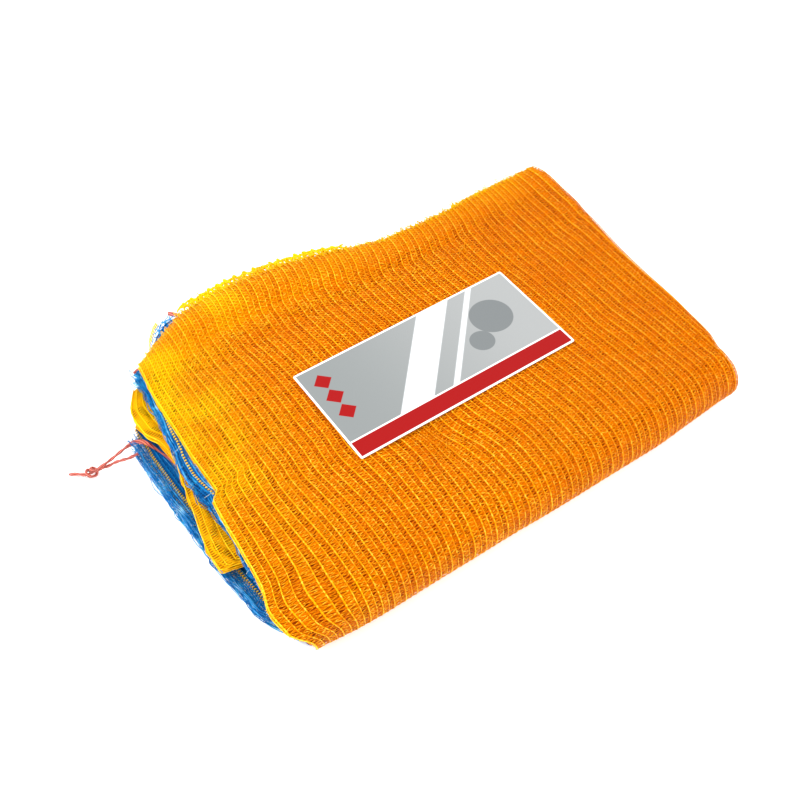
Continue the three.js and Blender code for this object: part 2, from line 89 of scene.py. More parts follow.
# Thin layers of cloth in each sack: name, depth below its face and how far its cut edges wander
LAYER_THICKNESS = 0.0006
OUTER_LAYERS = (("outer_sack_cloth", 0.0009, 0.0004), ("outer_sack_middle_layer", 0.0021, 0.0016),
                ("outer_sack_inner_layer", 0.0032, 0.0022))
INNER_LAYERS = (("inner_sack_cloth", 0.0003, 0.0014), ("inner_sack_middle_layer", 0.0017, 0.0018),
                ("inner_sack_inner_layer", 0.0031, 0.0022))

# How many loose strands of each kind
EDGE_LOOPS = 260
BACK_LOOPS = 220
BACK_FUZZ = 420
RAISED_STITCHES = 2600
CREASE_STITCHES = 420
PALE_THREADS = 9
LOBE_LOOPS = 40

# Half thickness of those strands
EDGE_LOOP_HALF = 0.00018
BACK_LOOP_HALF = 0.00036
BACK_SCALLOP_HALVES = (0.0011, 0.0010, 0.0009)
BACK_FUZZ_HALF = 0.00034
RAISED_STITCH_HALF = 0.00022
CREASE_STITCH_HALF = 0.00032
HEM_LOOP_HALF = 0.00036
HEM_THREAD_HALF = 0.00028
PALE_THREAD_HALF = 0.00014
HEM_EYE_HALF = 0.0006

# How far the plies leave the plain box
LEFT_REACH = 0.028
RIGHT_BOW = 0.015
INNER_FOLD_INSET = 0.003
BACK_BOW = 0.020
FRONT_BOW = 0.006
HUMP_HEIGHT = 0.009
CREASE_DEPTH = 0.0016
NOSE_SAG = 0.006
RIB_SWAY = 0.007
EDGE_REACH = 0.045

# Sines in a ripple, and rings in a loose thread
RIPPLE_WAVES = 7
THREAD_RINGS = 24

# Sideways drift of the wales: slow and quick, and where it ends at the left and at the right
SLOW_DRIFT = 0.0012
QUICK_DRIFT = 0.0005
STILL_LEFT = -HALF_LENGTH + 0.03
STILL_RIGHT = (0.15, 0.19)

# Pinch under the card's front edge: its middle, its reach, and how it pleats and draws the net
PINCH_X = -0.048
PINCH_Y = -0.066
PINCH_REACH_X = 0.034
PINCH_REACH_Y = 0.026
PLEAT_PITCH = 0.0135
PLEAT_DEPTH = 0.0016
PINCH_DRAW = 0.45

# Places of the two rows of eyes across a hem, in the cloth's own wales
HEM_EYES = (HALF_LENGTH + 0.0085) / RIB_PITCH
FAR_HEM_EYES = (HALF_LENGTH + 0.0500) / RIB_PITCH

# Hems, drawstring and card
HEM_WIDTH = 0.030
HEM_LIP = 0.009
HEM_GAP = 0.0006
HEM_WAVE = 0.0011
HEM_NICKS = 0.0003
HEM_GATHER = 0.0006
HEM_WALE_PITCH = 0.0030
HEM_WALES_END = 0.019
HEM_EYE_ROWS = (0.0054, 0.0085)
HEM_EYE_PITCH = 0.0030
THREAD_SWAY = 0.0007
LONGEST_THREAD = 0.07
LIP_OPEN = 0.002
LIP_OPEN_BELOW = 0.0075
# Each hem: name, insets of its faces, flare, seed, and its numbers of loops and of threads
HEMS = (("outer_sack_mouth_hem", OUTER_HEM_OUTER, OUTER_HEM_INNER, 0.0024, 71, 110, 150),
        ("inner_sack_mouth_hem", INNER_HEM_OUTER, INNER_HEM_INNER, 0.0, 81, 60, 70))
STRING_DIAMETER = 0.0026
CARD_LENGTH = 0.210
CARD_WIDTH = 0.099
CARD_THICKNESS = 0.0006
CARD_CORNER = 0.0015
CARD_GAP = 0.0003
CARD_ARC_POINTS = 5

# Card's print, with two slanting bands of painted highlight. Bands: middle and half width. Discs:
# middle and radius. Two places in y give where the pale line and the red strip begin, and where the
# row of lozenges begins and ends
CARD_HIGHLIGHT_BANDS = ((-0.012, 0.017), (0.026, 0.004))
CARD_DISCS = ((0.066, 0.012, 0.019), (0.043, -0.006, 0.011))
CARD_LINE = (-0.0312, -0.0316)
CARD_STRIP = (-0.0326, -0.0330)
LOZENGES_FROM = (-0.0136, -0.0134)
LOZENGES_TO = (0.0406, 0.0404)
LOZENGE_PITCH = 0.018
LOZENGE_ROW_Y = -0.0135
LOZENGE_X = -0.088

# Camera and the drawstring's way out, in the frame of the solids
CAMERA_PLACE = (-0.36530, -0.47182, 0.71759)
CAMERA_TARGET = (-0.037753, -0.003656, 0.022)
CAMERA_LENS = 50
CAMERA_SENSOR = 36
LONG_EXIT = (-0.2390, 0.0870, 0.0131)
SHORT_EXIT = (-0.2388, 0.0760, 0.0131)
LONG_ROUTE = np.array([
    (0.0035, 0.0002, 0.0002), (0, 0, 0), (-0.0045, -0.0003, -0.0009), (-0.0115, -0.0008, -0.0029),
    (-0.018, -0.0011, -0.0047), (-0.023, -0.0011, -0.006), (-0.027, -0.0009, -0.0069),
    (-0.031, -0.0005, -0.0078), (-0.0355, 0, -0.0087), (-0.039, 0.003, -0.0095),
    (-0.042, 0.0066, -0.0105), (-0.047, 0.0105, -0.0115),
])
SHORT_ROUTE = np.array([
    (0.0045, -0.0002, 0), (0, 0, 0), (-0.0035, 0.0004, -0.0004), (-0.008, 0.0032, -0.0024),
    (-0.013, 0.0066, -0.0053), (-0.0185, 0.0086, -0.008), (-0.0246, 0.0096, -0.0078),
    (-0.0290, 0.0098, -0.0074),
])
SHOWN_STRING = np.array([
    (-0.2120, 0.0380, 0.0140), (-0.2156, 0.0490, 0.0168), (-0.2190, 0.0600, 0.0174),
    (-0.2225, 0.0715, 0.0172), (-0.2264, 0.0810, 0.0166), (-0.2325, 0.0862, 0.0150),
    (-0.2385, 0.0870, 0.0134),
])
SHOWN_BITS = np.array([
    [(-0.1930, 0.1300, 0.0365), (-0.1990, 0.1335, 0.0365), (-0.2050, 0.1330, 0.0355)],
    [(-0.1420, 0.1640, 0.0340), (-0.1460, 0.1740, 0.0340), (-0.1500, 0.1800, 0.0330)],
])
KNOT_PLACE = (-0.2700, 0.0865, 0.0053)
KNOT_ROUTE = np.array([
    (0.0046, 0.0012, -0.0010), (0.0034, -0.0024, 0.0016), (0.0004, -0.0026, 0.0028),
    (-0.0012, 0.0012, 0.0026), (0.0012, 0.0032, 0.0004), (0.0032, 0.0010, -0.0020),
    (0.0008, -0.0028, -0.0024), (-0.0036, -0.0026, -0.0006), (-0.0050, 0.0010, 0.0012),
    (-0.0026, 0.0034, 0.0004), (0.0002, 0.0012, -0.0028),
])

# Strings: half width, half height, sides and turns a metre
LONG_STRAND = (0.00140, 0.00100, 12, 60.0)
SHORT_STRAND = (0.00140, 0.00100, 12, -70.0)
KNOT_STRAND = (0.00135, 0.00100, 12, 50.0)
SHOWN_TAPE = (0.0019, 0.0007, 12, 12.0)
SHOWN_BIT = (0.0020, 0.0012, 10, 12.0)
HELD_STRING_RUNS = (0.014, 0.022)
HELD_STRING_MARGIN = 0.016

# Turned-up corner of the outer hem: its edge on the sack's side and its free edge
LOBE_LENGTH = 0.050
LOBE_WIDTH = 0.018
LOBE_INNER = np.array([
    (-0.1930, 0.1270, 0.0350), (-0.1800, 0.1380, 0.0350), (-0.1680, 0.1460, 0.0350),
    (-0.1560, 0.1530, 0.0350), (-0.1420, 0.1590, 0.0350),
])
LOBE_FREE = np.array([
    (-0.1880, 0.1390, 0.0340), (-0.1785, 0.1590, 0.0350), (-0.1690, 0.1705, 0.0350),
    (-0.1590, 0.1785, 0.0340), (-0.1450, 0.1790, 0.0330),
])

# Columns' ends, and lengths along the cloth: over the top, round the front fold and underneath
TOP_SLACK = 0.012
UNDER_SHORTER = 0.010
FIRST_COLUMN_X = HEM_WIDTH + HEM_GAP - HALF_LENGTH
LAST_COLUMN_X = HALF_LENGTH - RIGHT_BOW - INNER_FOLD_INSET - CORE_INNER / 2
TOP_LENGTH = BACK_REACH + FRONT_REACH - NOSE_RADIUS + TOP_SLACK
NOSE_LENGTH = np.pi * NOSE_RADIUS
UNDER_LENGTH = TOP_LENGTH - UNDER_SHORTER
ALONG_NOSE = TOP_LENGTH + NOSE_LENGTH
ALONG_ALL = ALONG_NOSE + UNDER_LENGTH
PAST_NOSE = 0.010
LAST_WALE_X = 0.192
FOLD_WALES = 3
LAST_ACROSS = LAST_WALE_X + 2 * FOLD_WALES * RIB_PITCH
CLOSE_GRID_END = -0.15

# Light
KEY_LIGHT = ((-0.9, 0.6, 1.6), 0.9, 30)
FRONT_LIGHT = ((0.6, -1.3, 1.3), 1.4, 20)
FLOOR_REACH = 4.0
FLOOR_GLOW = 0.22

# Rows over the top: run, share of the hump, share of the sway
ROWS = np.array([
    (0, 0.45, 0.8), (0.04, 0.95, 0.7), (0.09, 0.8, 0.3), (0.14, -0.12, -0.3),
    (0.24, 0, -0.5), (0.37, 0, -0.1), (0.48, 0, 0), (0.61, 0, 0), (0.68, 0, -0.3),
    (0.76, 0, 0.1), (0.84, 0, 0.6), (0.92, 0, 0.8), (1, 0, 0.6), (2, 0, 0), (3, 0, 0),
])
# Columns: share of the way across, back edge, under edge, front fold, lift of the hump
COLUMNS = np.array([
    (-0.16, -1.6, -2.8, -0.1, 0), (-0.08, -1.0, -1.5, 0.1, 0.25), (0, -0.15, -0.4, 0.6, 0.5),
    (0.08, 0.6, 0, 0.75, 0.9), (0.21, 0.85, 0, 0.75, 1), (0.35, 0.68, 0, 0.8, 0.85),
    (0.5, 0.15, 0, 0.95, 0.4), (0.64, -0.4, -0.2, 1, 0.2), (0.78, -0.4, -0.2, 1, 0.15),
    (0.91, -0.25, -0.2, 0.6, 0.1), (1, -0.2, -0.2, 0.2, 0.05),
])
# Left ends: run, and how far skin, hem and core stand out, of the left reach
SKIN = 1
HEM = 2
CORE = 3
LEFT_ENDS = np.array([
    (0, -0.25, 0.1, 0.15), (0.05, -0.2, 0.02, 0.5), (0.09, -0.15, 0.0, 0.62),
    (0.16, -0.1, 0.1, 0.6), (0.24, -0.07, 0.2, 0.36), (0.3, -0.05, 0.28, 0.32),
    (0.4, 0, 0.42, 0.5), (0.5, 0, 0.42, 0.7), (0.55, 0, 0.36, 0.8), (0.575, 0.24, 0.36, 0.86),
    (0.7, 0.35, 0.34, 1.02), (0.74, 0.37, 0.4, 1.02), (0.765, 0.39, 0.45, 0.4),
    (0.9, 0.5, 0.45, 0.3), (1, 0.72, 0.4, 0.25), (1.25, 0.6, 0.3, 0.2), (1.5, 0.12, 0.12, 0.12),
    (1.67, 0.03, 0.05, 0.12), (1.83, -0.08, 0.1, 0.15), (2, -0.2, 0.3, 0.1),
    (2.15, -0.1, 0.76, 0.2), (2.4, 0, 0.9, 0.25), (2.6, 0, 0.95, 0.25), (2.8, 0, 1, 0.35),
    (3, -0.1, 1, 0.6),
])
# Right fold: run, and how far it stands out, of its bow
RIGHT_ENDS = np.array([
    (0, 1.1), (0.06, 1.4), (0.2, 1.25), (0.36, 0.8), (0.52, 0.4), (0.76, 0.2),
    (0.92, -0.1), (1, -0.5), (1.5, -0.35), (2, -0.3), (3, 0.5),
])
# Creases on the top: both ends and width as shares, then share of the depth
CREASES = np.array([
    (-0.75, 0.66, 0.45, 0.70, 0.05, 1.3), (0.5, 0.3, 1.05, 0.46, 0.07, 1),
    (-1, 0.12, -0.55, 0.05, 0.08, 0.8), (-1, -0.12, -0.6, -0.3, 0.07, 0.8),
    (-0.36, -0.36, -0.14, -0.72, 0.06, 1), (-0.28, -0.34, -0.02, -0.66, 0.05, 0.7),
    (0.55, -0.5, 0.9, -0.75, 0.07, 0.7),
])


def smooth(rows, column, at):
    """Smooth curve through a table's column that never overshoots its rows: a cubic between two
    rows, whose slope at a row is the harmonic mean of the slopes beside it."""
    xs, ys = rows[:, 0], rows[:, column]
    gap = np.diff(xs)
    rise = np.diff(ys) / gap
    slope = np.concatenate([[rise[0]], np.zeros(len(xs) - 2), [rise[-1]]])
    same = rise[:-1] * rise[1:] > 0
    total = np.where(same, rise[:-1] + rise[1:], 1)
    slope[1:-1] = np.where(same, 2 * rise[:-1] * rise[1:] / total, 0)
    at = np.clip(at, xs[0], xs[-1])
    i = np.clip(np.searchsorted(xs, at, "right") - 1, 0, len(gap) - 1)
    t = (at - xs[i]) / gap[i]
    ends = (1 + 2 * t) * (1 - t) ** 2 * ys[i] + t * t * (3 - 2 * t) * ys[i + 1]
    tangents = t * (1 - t) ** 2 * slope[i] + t * t * (t - 1) * slope[i + 1]
    return ends + gap[i] * tangents


def step(low, high, at):
    """Smooth step from 0 at low to 1 at high."""
    t = np.clip((at - low) / (high - low), 0, 1)
    return t * t * (3 - 2 * t)


def ripple(a, b, seed):
    """Soft irregular wave over two coordinates, about -1 to 1: a sum of sines in fixed, mixed
    directions with fixed phases. A seed gives another wave."""
    mixed = np.random.default_rng(seed)
    angle = mixed.uniform(0, 2 * np.pi, RIPPLE_WAVES)
    size = mixed.uniform(0.6, 1.6, RIPPLE_WAVES)
    phase = mixed.uniform(0, 2 * np.pi, RIPPLE_WAVES)
    total = np.zeros(np.broadcast(a, b).shape)
    for turn, scale, start in zip(angle, size, phase):
        total += np.sin(scale * (a * np.cos(turn) + b * np.sin(turn)) + start)
    return total / np.sqrt(RIPPLE_WAVES) / 1.3


def crease_at(x, y):
    """Depth of the creases: each falls away from its line as a bell."""
    depth = np.zeros(np.broadcast(x, y).shape)
    for x1, y1, x2, y2, width, share in CREASES:
        ax, ay = x1 * HALF_LENGTH, y1 * BACK_REACH
        dx, dy = x2 * HALF_LENGTH - ax, y2 * BACK_REACH - ay
        near = np.clip(((x - ax) * dx + (y - ay) * dy) / (dx * dx + dy * dy), 0, 1)
        away = np.hypot(x - ax - dx * near, y - ay - dy * near) / (width * BACK_REACH)
        depth = np.maximum(depth, CREASE_DEPTH * share * np.exp(-(away**2)))
    return depth


def place(x, inset, run):
    """Point of the bundle in space. The top is a slope from the back edge to the front fold with
    the hump added and the creases taken off, the fold a half round, the underside level."""
    share = (x - FIRST_COLUMN_X) / (LAST_COLUMN_X - FIRST_COLUMN_X)
    back = BACK_REACH + BACK_BOW * smooth(COLUMNS, 1, share)
    under = BACK_REACH + BACK_BOW * smooth(COLUMNS, 2, share)
    fold = NOSE_RADIUS - FRONT_REACH - FRONT_BOW * smooth(COLUMNS, 3, share)
    lift = HUMP_HEIGHT * smooth(ROWS, 1, run) * smooth(COLUMNS, 4, share)
    sway = RIB_SWAY * smooth(ROWS, 2, run) * (1 - np.minimum(1, np.abs(x / HALF_LENGTH)) ** 2)
    y_top = back + (fold - back) * run
    pressed = crease_at(x, y_top) * np.clip(1 - inset / OUTER_HEM_INNER, 0, 1)
    z_top = HEIGHT - inset + lift * (1 - inset / CORE_INNER) - pressed
    turn = np.pi * np.clip(run - 1, 0, 1)
    radius = NOSE_RADIUS - inset
    z_fold = NOSE_RADIUS + radius * np.cos(turn)
    level = np.where(run <= 1, HEIGHT - inset, np.where(run < 2, z_fold, inset))
    y_under = fold + (under - fold) * (run - 2)
    y = np.where(run <= 1, y_top, np.where(run < 2, fold - radius * np.sin(turn), y_under))
    z = np.where(run <= 1, z_top, level)
    y = y - NOSE_SAG * (1 - level / HEIGHT)
    return np.stack([x + sway + 0 * y, y, np.maximum(z, 0)], axis=-1)


def run_at(along):
    """Run at a length along the bundle's outside from its back edge."""
    lengths = [0, TOP_LENGTH, ALONG_NOSE, ALONG_ALL]
    past = np.minimum(along, 0) / TOP_LENGTH
    return np.interp(along, lengths, [0, 1, 2, 3]) + past


def left_end(column, run):
    """Where a ply's left end lies: the plain box's, and the table's share of the reach past it."""
    return -HALF_LENGTH - LEFT_REACH * smooth(LEFT_ENDS, column, run)


def right_end(run):
    """Where the right fold lies: the plain box's end, and the table's share of the bow past it."""
    return HALF_LENGTH + RIGHT_BOW * smooth(RIGHT_ENDS, 1, run)


def under_card(x, y):
    """1 below the card and 0 away from it, with a soft edge."""
    away_x = np.abs(x) - CARD_LENGTH / 2
    away_y = np.abs(y) - CARD_WIDTH / 2
    return 1 - step(*CARD_PRESS_EDGE, np.maximum(away_x, away_y))


def rib_relief(across, run):
    """Inset of the knit's surface: a broad rib between the main and the fine wale, and a narrower
    channel beside it, with a soft ripple over both. All of it fades out round the front fold."""
    phase = across / RIB_PITCH % 1
    channel = step(FINE_WALE, FINE_WALE + CHANNEL_SLOPE, phase)
    channel = channel * (1 - step(CHANNEL_END, 1, phase))
    ribs = np.clip(4 - 2 * run, 0, 1)
    soft = SOFT_RELIEF * (1 + ripple(across / 0.012, run / 0.05, 3)) * np.clip(3 - 1.5 * run, 0, 1)
    return CHANNEL_DEPTH * channel * ribs + soft * ribs


def wrap(across, out, fold_x, low, high):
    """Place of a folded ply, as x and inset. It runs right to fold_x at the inset low, turns a half
    round and runs back left at the inset high. out is how far outside those faces it lies."""
    radius = abs(high - low) / 2
    angle = np.clip((across - fold_x) / radius, 0, np.pi)
    past = np.maximum(0, across - fold_x - np.pi * radius)
    reach = (radius + out) * np.sign(high - low)
    x = np.minimum(across, fold_x) + np.abs(reach) * np.sin(angle) - past
    return x, (low + high) / 2 - reach * np.cos(angle)


def folded_across(across, run, fold_x, radius):
    """Length along a sack's cloth for an even row of wales. Up to the last straight wale it is the
    same, three pitches more take it round the fold, and another three back to the mouth."""
    mouth_x = left_end(HEM, run) + HEM_WIDTH + HEM_GAP
    turned = fold_x + np.pi * radius
    share = np.clip((across - LAST_WALE_X) / (FOLD_WALES * RIB_PITCH), 0, 1)
    back = np.clip((across - LAST_WALE_X) / (FOLD_WALES * RIB_PITCH) - 1, 0, 1)
    beyond = share * (turned - LAST_WALE_X) + back * (fold_x - mouth_x)
    return np.minimum(across, LAST_WALE_X) + beyond


def edge_shift(across, column, run):
    """Sideways shift that takes an even left edge to the ply's real one, gone a reach from it."""
    shift = left_end(column, run) + HALF_LENGTH
    return shift * (1 - step(0, EDGE_REACH, across + HALF_LENGTH))


def ply_place(across, out, run, column, fold_inset, low, high):
    """Point on a sack, which runs right at the inset low and back left at the inset high."""
    radius = abs(high - low) / 2
    fold_x = right_end(run) - fold_inset - radius
    shifted = across + edge_shift(across, column, run)
    x, inset = wrap(folded_across(shifted, run, fold_x, radius), out, fold_x, low, high)
    return place(x, inset, run)


def outer_place(across, out, run):
    """Point on the outer sack, whose outside is the bundle's."""
    return ply_place(across, out, run, SKIN, 0, 0, OUTER_HEM_INNER)


def inner_place(across, out, run):
    """Point on the inner sack. It starts at its bottom ply, the core, which faces inwards."""
    return ply_place(across, out, run, CORE, INNER_FOLD_INSET, CORE_INNER, INNER_HEM_OUTER)


def hem_place(low, high, flare, seed):
    """Map of a hem's sleeve, flattened between two insets. Across starts at its outer lip, goes
    right to the closed side and back to the inner lip. Both lips are ruffled."""
    def to_space(across, along, height):
        run = run_at(along)
        radius = (high - low) / 2
        x, inset = wrap(across, height, HEM_WIDTH - radius, low, high)
        lip = 1 - step(0, HEM_LIP + 0.004, x)
        side = np.where(across < HEM_WIDTH, 1, -1)
        wave = ripple(along / 0.010, side * 1.7, seed)
        pushed = ripple(along / 0.0016, side * 3.1, seed + 1)
        shown = np.clip((left_end(SKIN, run) - left_end(HEM, run) - HEM_LIP) / HEM_LIP, 0, 1)
        lift = flare * shown * (0.5 + 0.5 * wave) * (side > 0)
        x = x + lip * (HEM_WAVE * wave + HEM_NICKS * pushed)
        gather = HEM_GATHER * ripple(x / 0.0012, along / 0.012, seed + 2)
        return place(left_end(HEM, run) + x, inset - lip * (lift + gather), run)

    return to_space


def gathered_at(across, along):
    """1 where the net is pinched together under the card's front edge, falling away as a bell."""
    side = (across - PINCH_X) / PINCH_REACH_X
    ahead = (BACK_REACH - along - PINCH_Y) / PINCH_REACH_Y
    return np.exp(-(side**2) - ahead**2)


def wander_at(across, along, run):
    """Sideways drift of the wales: soft waves that are still at both ends and underneath, and
    the pinch under the card, which draws them together."""
    inside = step(-HALF_LENGTH, STILL_LEFT, across) * (1 - step(*STILL_RIGHT, across))
    wave = SLOW_DRIFT * ripple(across / 0.022, along / 0.035, 5)
    wave = wave + QUICK_DRIFT * ripple(across / 0.005, along / 0.018, 6)
    drawn = -PINCH_DRAW * (across - PINCH_X) * gathered_at(across, along)
    return (wave * inside + drawn) * np.clip(3 - 1.5 * run, 0, 1)


def knit_place(across, along, height):
    """Point on the outer sack's knit, in even wales and stitches: its face less the ribs' relief,
    the card's print in it and the pleats of the pinch, which are a sine across."""
    run = run_at(along)
    pressed = CARD_PRESS * under_card(across, BACK_REACH - along)
    depth = rib_relief(across + HALF_LENGTH, run) + pressed
    pleats = 0.5 + 0.5 * np.sin(2 * np.pi * across / PLEAT_PITCH + 1)
    depth = depth + PLEAT_DEPTH * pleats * gathered_at(across, along)
    return outer_place(across + wander_at(across, along, run), height - depth, run)


def inner_knit_place(across, along, height):
    """Point on the inner sack's knit, on the side that faces inwards."""
    return inner_place(across, height, run_at(along))


def lobe_place(across, along, height):
    """Point on the turned-up corner: its two long edges are lines through the tables' points, and
    across goes straight from the sack's side to the free one."""
    shares = np.linspace(0, 1, len(LOBE_INNER))
    inner, free = [np.stack([np.interp(along / LOBE_LENGTH, shares, edge[:, axis])
                             for axis in range(3)], -1) for edge in (LOBE_INNER, LOBE_FREE)]
    share = (across / LOBE_WIDTH)[..., None]
    points = inner + (free - inner) * share
    points[..., 2] += height
    return points


def ring_faces(strands, rings, sides):
    """Faces of closed tubes: quads between the rings of each strand, and a face on either end."""
    start = np.arange(strands)[:, None, None] * rings * sides
    ring = np.arange(rings - 1)[None, :, None] * sides
    side = np.arange(sides)[None, None, :]
    after = (side + 1) % sides
    low = start + ring
    quads = np.stack([low + side, low + sides + side, low + sides + after, low + after], -1)
    first = start[:, 0] + np.arange(sides)
    last = start[:, 0] + (rings - 1) * sides + np.arange(sides)[::-1]
    return [quads.reshape(-1, 4), first, last]


def tubes(line, half_width, half_height, sides, to_space):
    """Tubes along many lines at once, drawn flat and then bent by to_space. line holds (across,
    along, height) for each strand and ring. Each ring is square to its line: the middle plus
    half_width by the cosine sideways and half_height by the sine upwards."""
    ahead = np.gradient(line[..., :2], axis=1)
    ahead /= np.linalg.norm(ahead, axis=-1, keepdims=True) + 1e-12
    angle = 2 * np.pi * (np.arange(sides) + 0.5) / sides
    wide = (np.broadcast_to(half_width, line.shape[:2])[..., None]) * np.cos(angle)
    high = (np.broadcast_to(half_height, line.shape[:2])[..., None]) * np.sin(angle)
    across = line[..., 0, None] + ahead[..., 1, None] * wide
    along = line[..., 1, None] - ahead[..., 0, None] * wide
    height = line[..., 2, None] + high
    points = to_space(across, along, height)
    uv = np.stack([(across + HALF_LENGTH) / RIB_PITCH, along / STITCH], -1)
    faces = ring_faces(line.shape[0], line.shape[1], sides)
    return points.reshape(-1, 3), faces, uv.reshape(-1, 2)


def sheet_faces(columns, rows):
    """Faces of a closed sheet of two layers: the outer grid, the inner grid turned over, and the
    rim between them. A point's number is layer, then column, then row."""
    def number(layer, i, j):
        return (layer * columns + i) * rows + j

    i, j = np.meshgrid(np.arange(columns - 1), np.arange(rows - 1), indexing="ij")
    outer = np.stack([number(0, i, j), number(0, i, j + 1), number(0, i + 1, j + 1),
                      number(0, i + 1, j)], -1).reshape(-1, 4)
    inner = np.stack([number(1, i, j), number(1, i + 1, j), number(1, i + 1, j + 1),
                      number(1, i, j + 1)], -1).reshape(-1, 4)
    i, j = np.arange(columns - 1), np.arange(rows - 1)
    rims = []
    for row, turned in ((0, False), (rows - 1, True)):
        rim = [number(0, i, row), number(0, i + 1, row), number(1, i + 1, row), number(1, i, row)]
        rims.append(np.stack(rim[::-1] if turned else rim, -1))
    for column, turned in ((0, True), (columns - 1, False)):
        rim = [number(0, column, j), number(0, column, j + 1), number(1, column, j + 1),
               number(1, column, j)]
        rims.append(np.stack(rim[::-1] if turned else rim, -1))
    return [outer, inner, *rims]


def sheet(across, along, surface, back):
    """Closed sheet over a grid: surface gives its outer layer and back its inner one."""
    a, b = np.meshgrid(across, along, indexing="ij")
    points = np.concatenate([surface(a, b).reshape(-1, 3), back(a, b).reshape(-1, 3)])
    one = np.stack([(a + HALF_LENGTH) / RIB_PITCH, b / STITCH], -1).reshape(-1, 2)
    return points, sheet_faces(len(across), len(along)), np.concatenate([one, one])


def wales(across, along, half_width, half_height, height, to_space, sides=4):
    """Pillar chains: tubes whose width is a cosine, with one swell in every stitch."""
    a, b = np.meshgrid(across, along, indexing="ij")
    swell = 1 - STRAND_SWELL + STRAND_SWELL * np.cos(2 * np.pi * b / STITCH)
    line = np.stack([a, b, np.full(a.shape, height)], -1)
    return tubes(line, half_width * swell, half_height * swell, sides, to_space)


def edge_cords(rows, along, to_space):
    """Six-sided pillar chains along a sack's left edge, one for each row of the table."""
    return [wales(np.array([-HALF_LENGTH + shift]), along, half, half, height, to_space, 6)
            for shift, half, height in rows]


def wefts(left, right, along, half_width, half_height, height, to_space):
    """Zigzag tape between two wales: a straight three-sided strip for each crossing."""
    left, right = np.broadcast_arrays(left, right)
    shape = (len(left), len(along) - 1)
    forward = (np.arange(len(along) - 1) % 2 == 0)[None, :]
    start = np.where(forward, left[:, None], right[:, None])
    stop = np.where(forward, right[:, None], left[:, None])
    first = np.broadcast_to(along[None, :-1], shape)
    last = np.broadcast_to(along[None, 1:], shape)
    level = height + rng.uniform(-0.00020, 0.00025, shape)
    slip = rng.uniform(-0.0004, 0.0004, shape)
    line = np.stack([np.stack([start, first + slip, level], -1),
                     np.stack([stop, last + slip, level], -1)], 2)
    return tubes(line.reshape(-1, 2, 3), half_width, half_height, 3, to_space)


def arcs(base, span, bulge, half_width, to_space, rings=7):
    """Loose loops: each runs along its span, with its base in the middle, and bulges by half a
    sine. Each of the three is given as across, along and height."""
    t = np.linspace(0, 1, rings)[None, :, None]
    moves = np.stack(np.broadcast_arrays(*base, *span, *bulge), -1)[:, None]
    line = moves[..., :3] + moves[..., 3:6] * (t - 0.5) + moves[..., 6:] * np.sin(np.pi * t)
    return tubes(line, half_width, half_width, 3, to_space)


def threads(across, along, length, half_width, sway, to_space, seed):
    """Long loose threads along a band, each with its own slow sway: a ripple sideways and one
    upwards."""
    t = np.linspace(0, 1, THREAD_RINGS)[None, :]
    b = along[:, None] + length[:, None] * t
    a = across[:, None] + sway * ripple(b / 0.006, across[:, None] / 0.0006, seed)
    height = 0.0007 + 0.0005 * ripple(b / 0.005, across[:, None] / 0.0005, seed + 1)
    return tubes(np.stack([a, b, height], -1), half_width, half_width, 3, to_space)


def spreader(count):
    """A function that draws an even random spread of count values between two numbers."""
    return lambda low, high: rng.uniform(low, high, count)


def sack_grid(straight_step, fold_count, top_count, nose_count, under_count):
    """Grid lines of a sack's cloth, across and along it: close at the left end, a straight step
    apart up to the right fold, and in even shares of each stretch after that."""
    across = np.concatenate([
        np.arange(-HALF_LENGTH, CLOSE_GRID_END, RIB_PITCH / 4),
        np.arange(CLOSE_GRID_END, LAST_WALE_X, straight_step),
        np.linspace(LAST_WALE_X, LAST_ACROSS, fold_count),
    ])
    along = np.concatenate([
        np.linspace(0, TOP_LENGTH, top_count),
        np.linspace(TOP_LENGTH, ALONG_NOSE, nose_count)[1:],
        np.linspace(ALONG_NOSE, ALONG_ALL, under_count)[1:],
    ])
    return across, along


def sack_layer(outward, depth, ragged, seed, grid):
    """One thin layer of a sack, as a closed sheet. ragged is how far its cut edges wander."""
    def layer(out):
        def surface(across, along):
            run = run_at(along)
            near_left = 1 - step(0, 0.03, across + HALF_LENGTH)
            near_back = 1 - step(0, 0.02, along)
            shift = ragged * near_left * ripple(along / 0.006, 0, seed)
            beyond = ragged * near_back * ripple(across / 0.007, 0, seed + 1)
            return outward(across + shift, along + beyond, out)
        return surface
    return sheet(*grid, layer(-depth), layer(-depth - LAYER_THICKNESS))


def curve_through(points, per_span):
    """Smooth path through points: the cubic whose slope at each is half the step across it."""
    points = np.asarray(points, float)
    ends = np.concatenate([2 * points[:1] - points[1:2], points, 2 * points[-1:] - points[-2:-1]])
    t = (np.arange(per_span) / per_span)[None, :, None]
    a, b, c, d = ends[:-3, None], ends[1:-2, None], ends[2:-1, None], ends[3:, None]
    path = 0.5 * (2 * b + (c - a) * t + (2 * a - 5 * b + 4 * c - d) * t**2
                  + (3 * b - a - 3 * c + d) * t**3)
    return np.concatenate([path.reshape(-1, 3), points[-1:]])


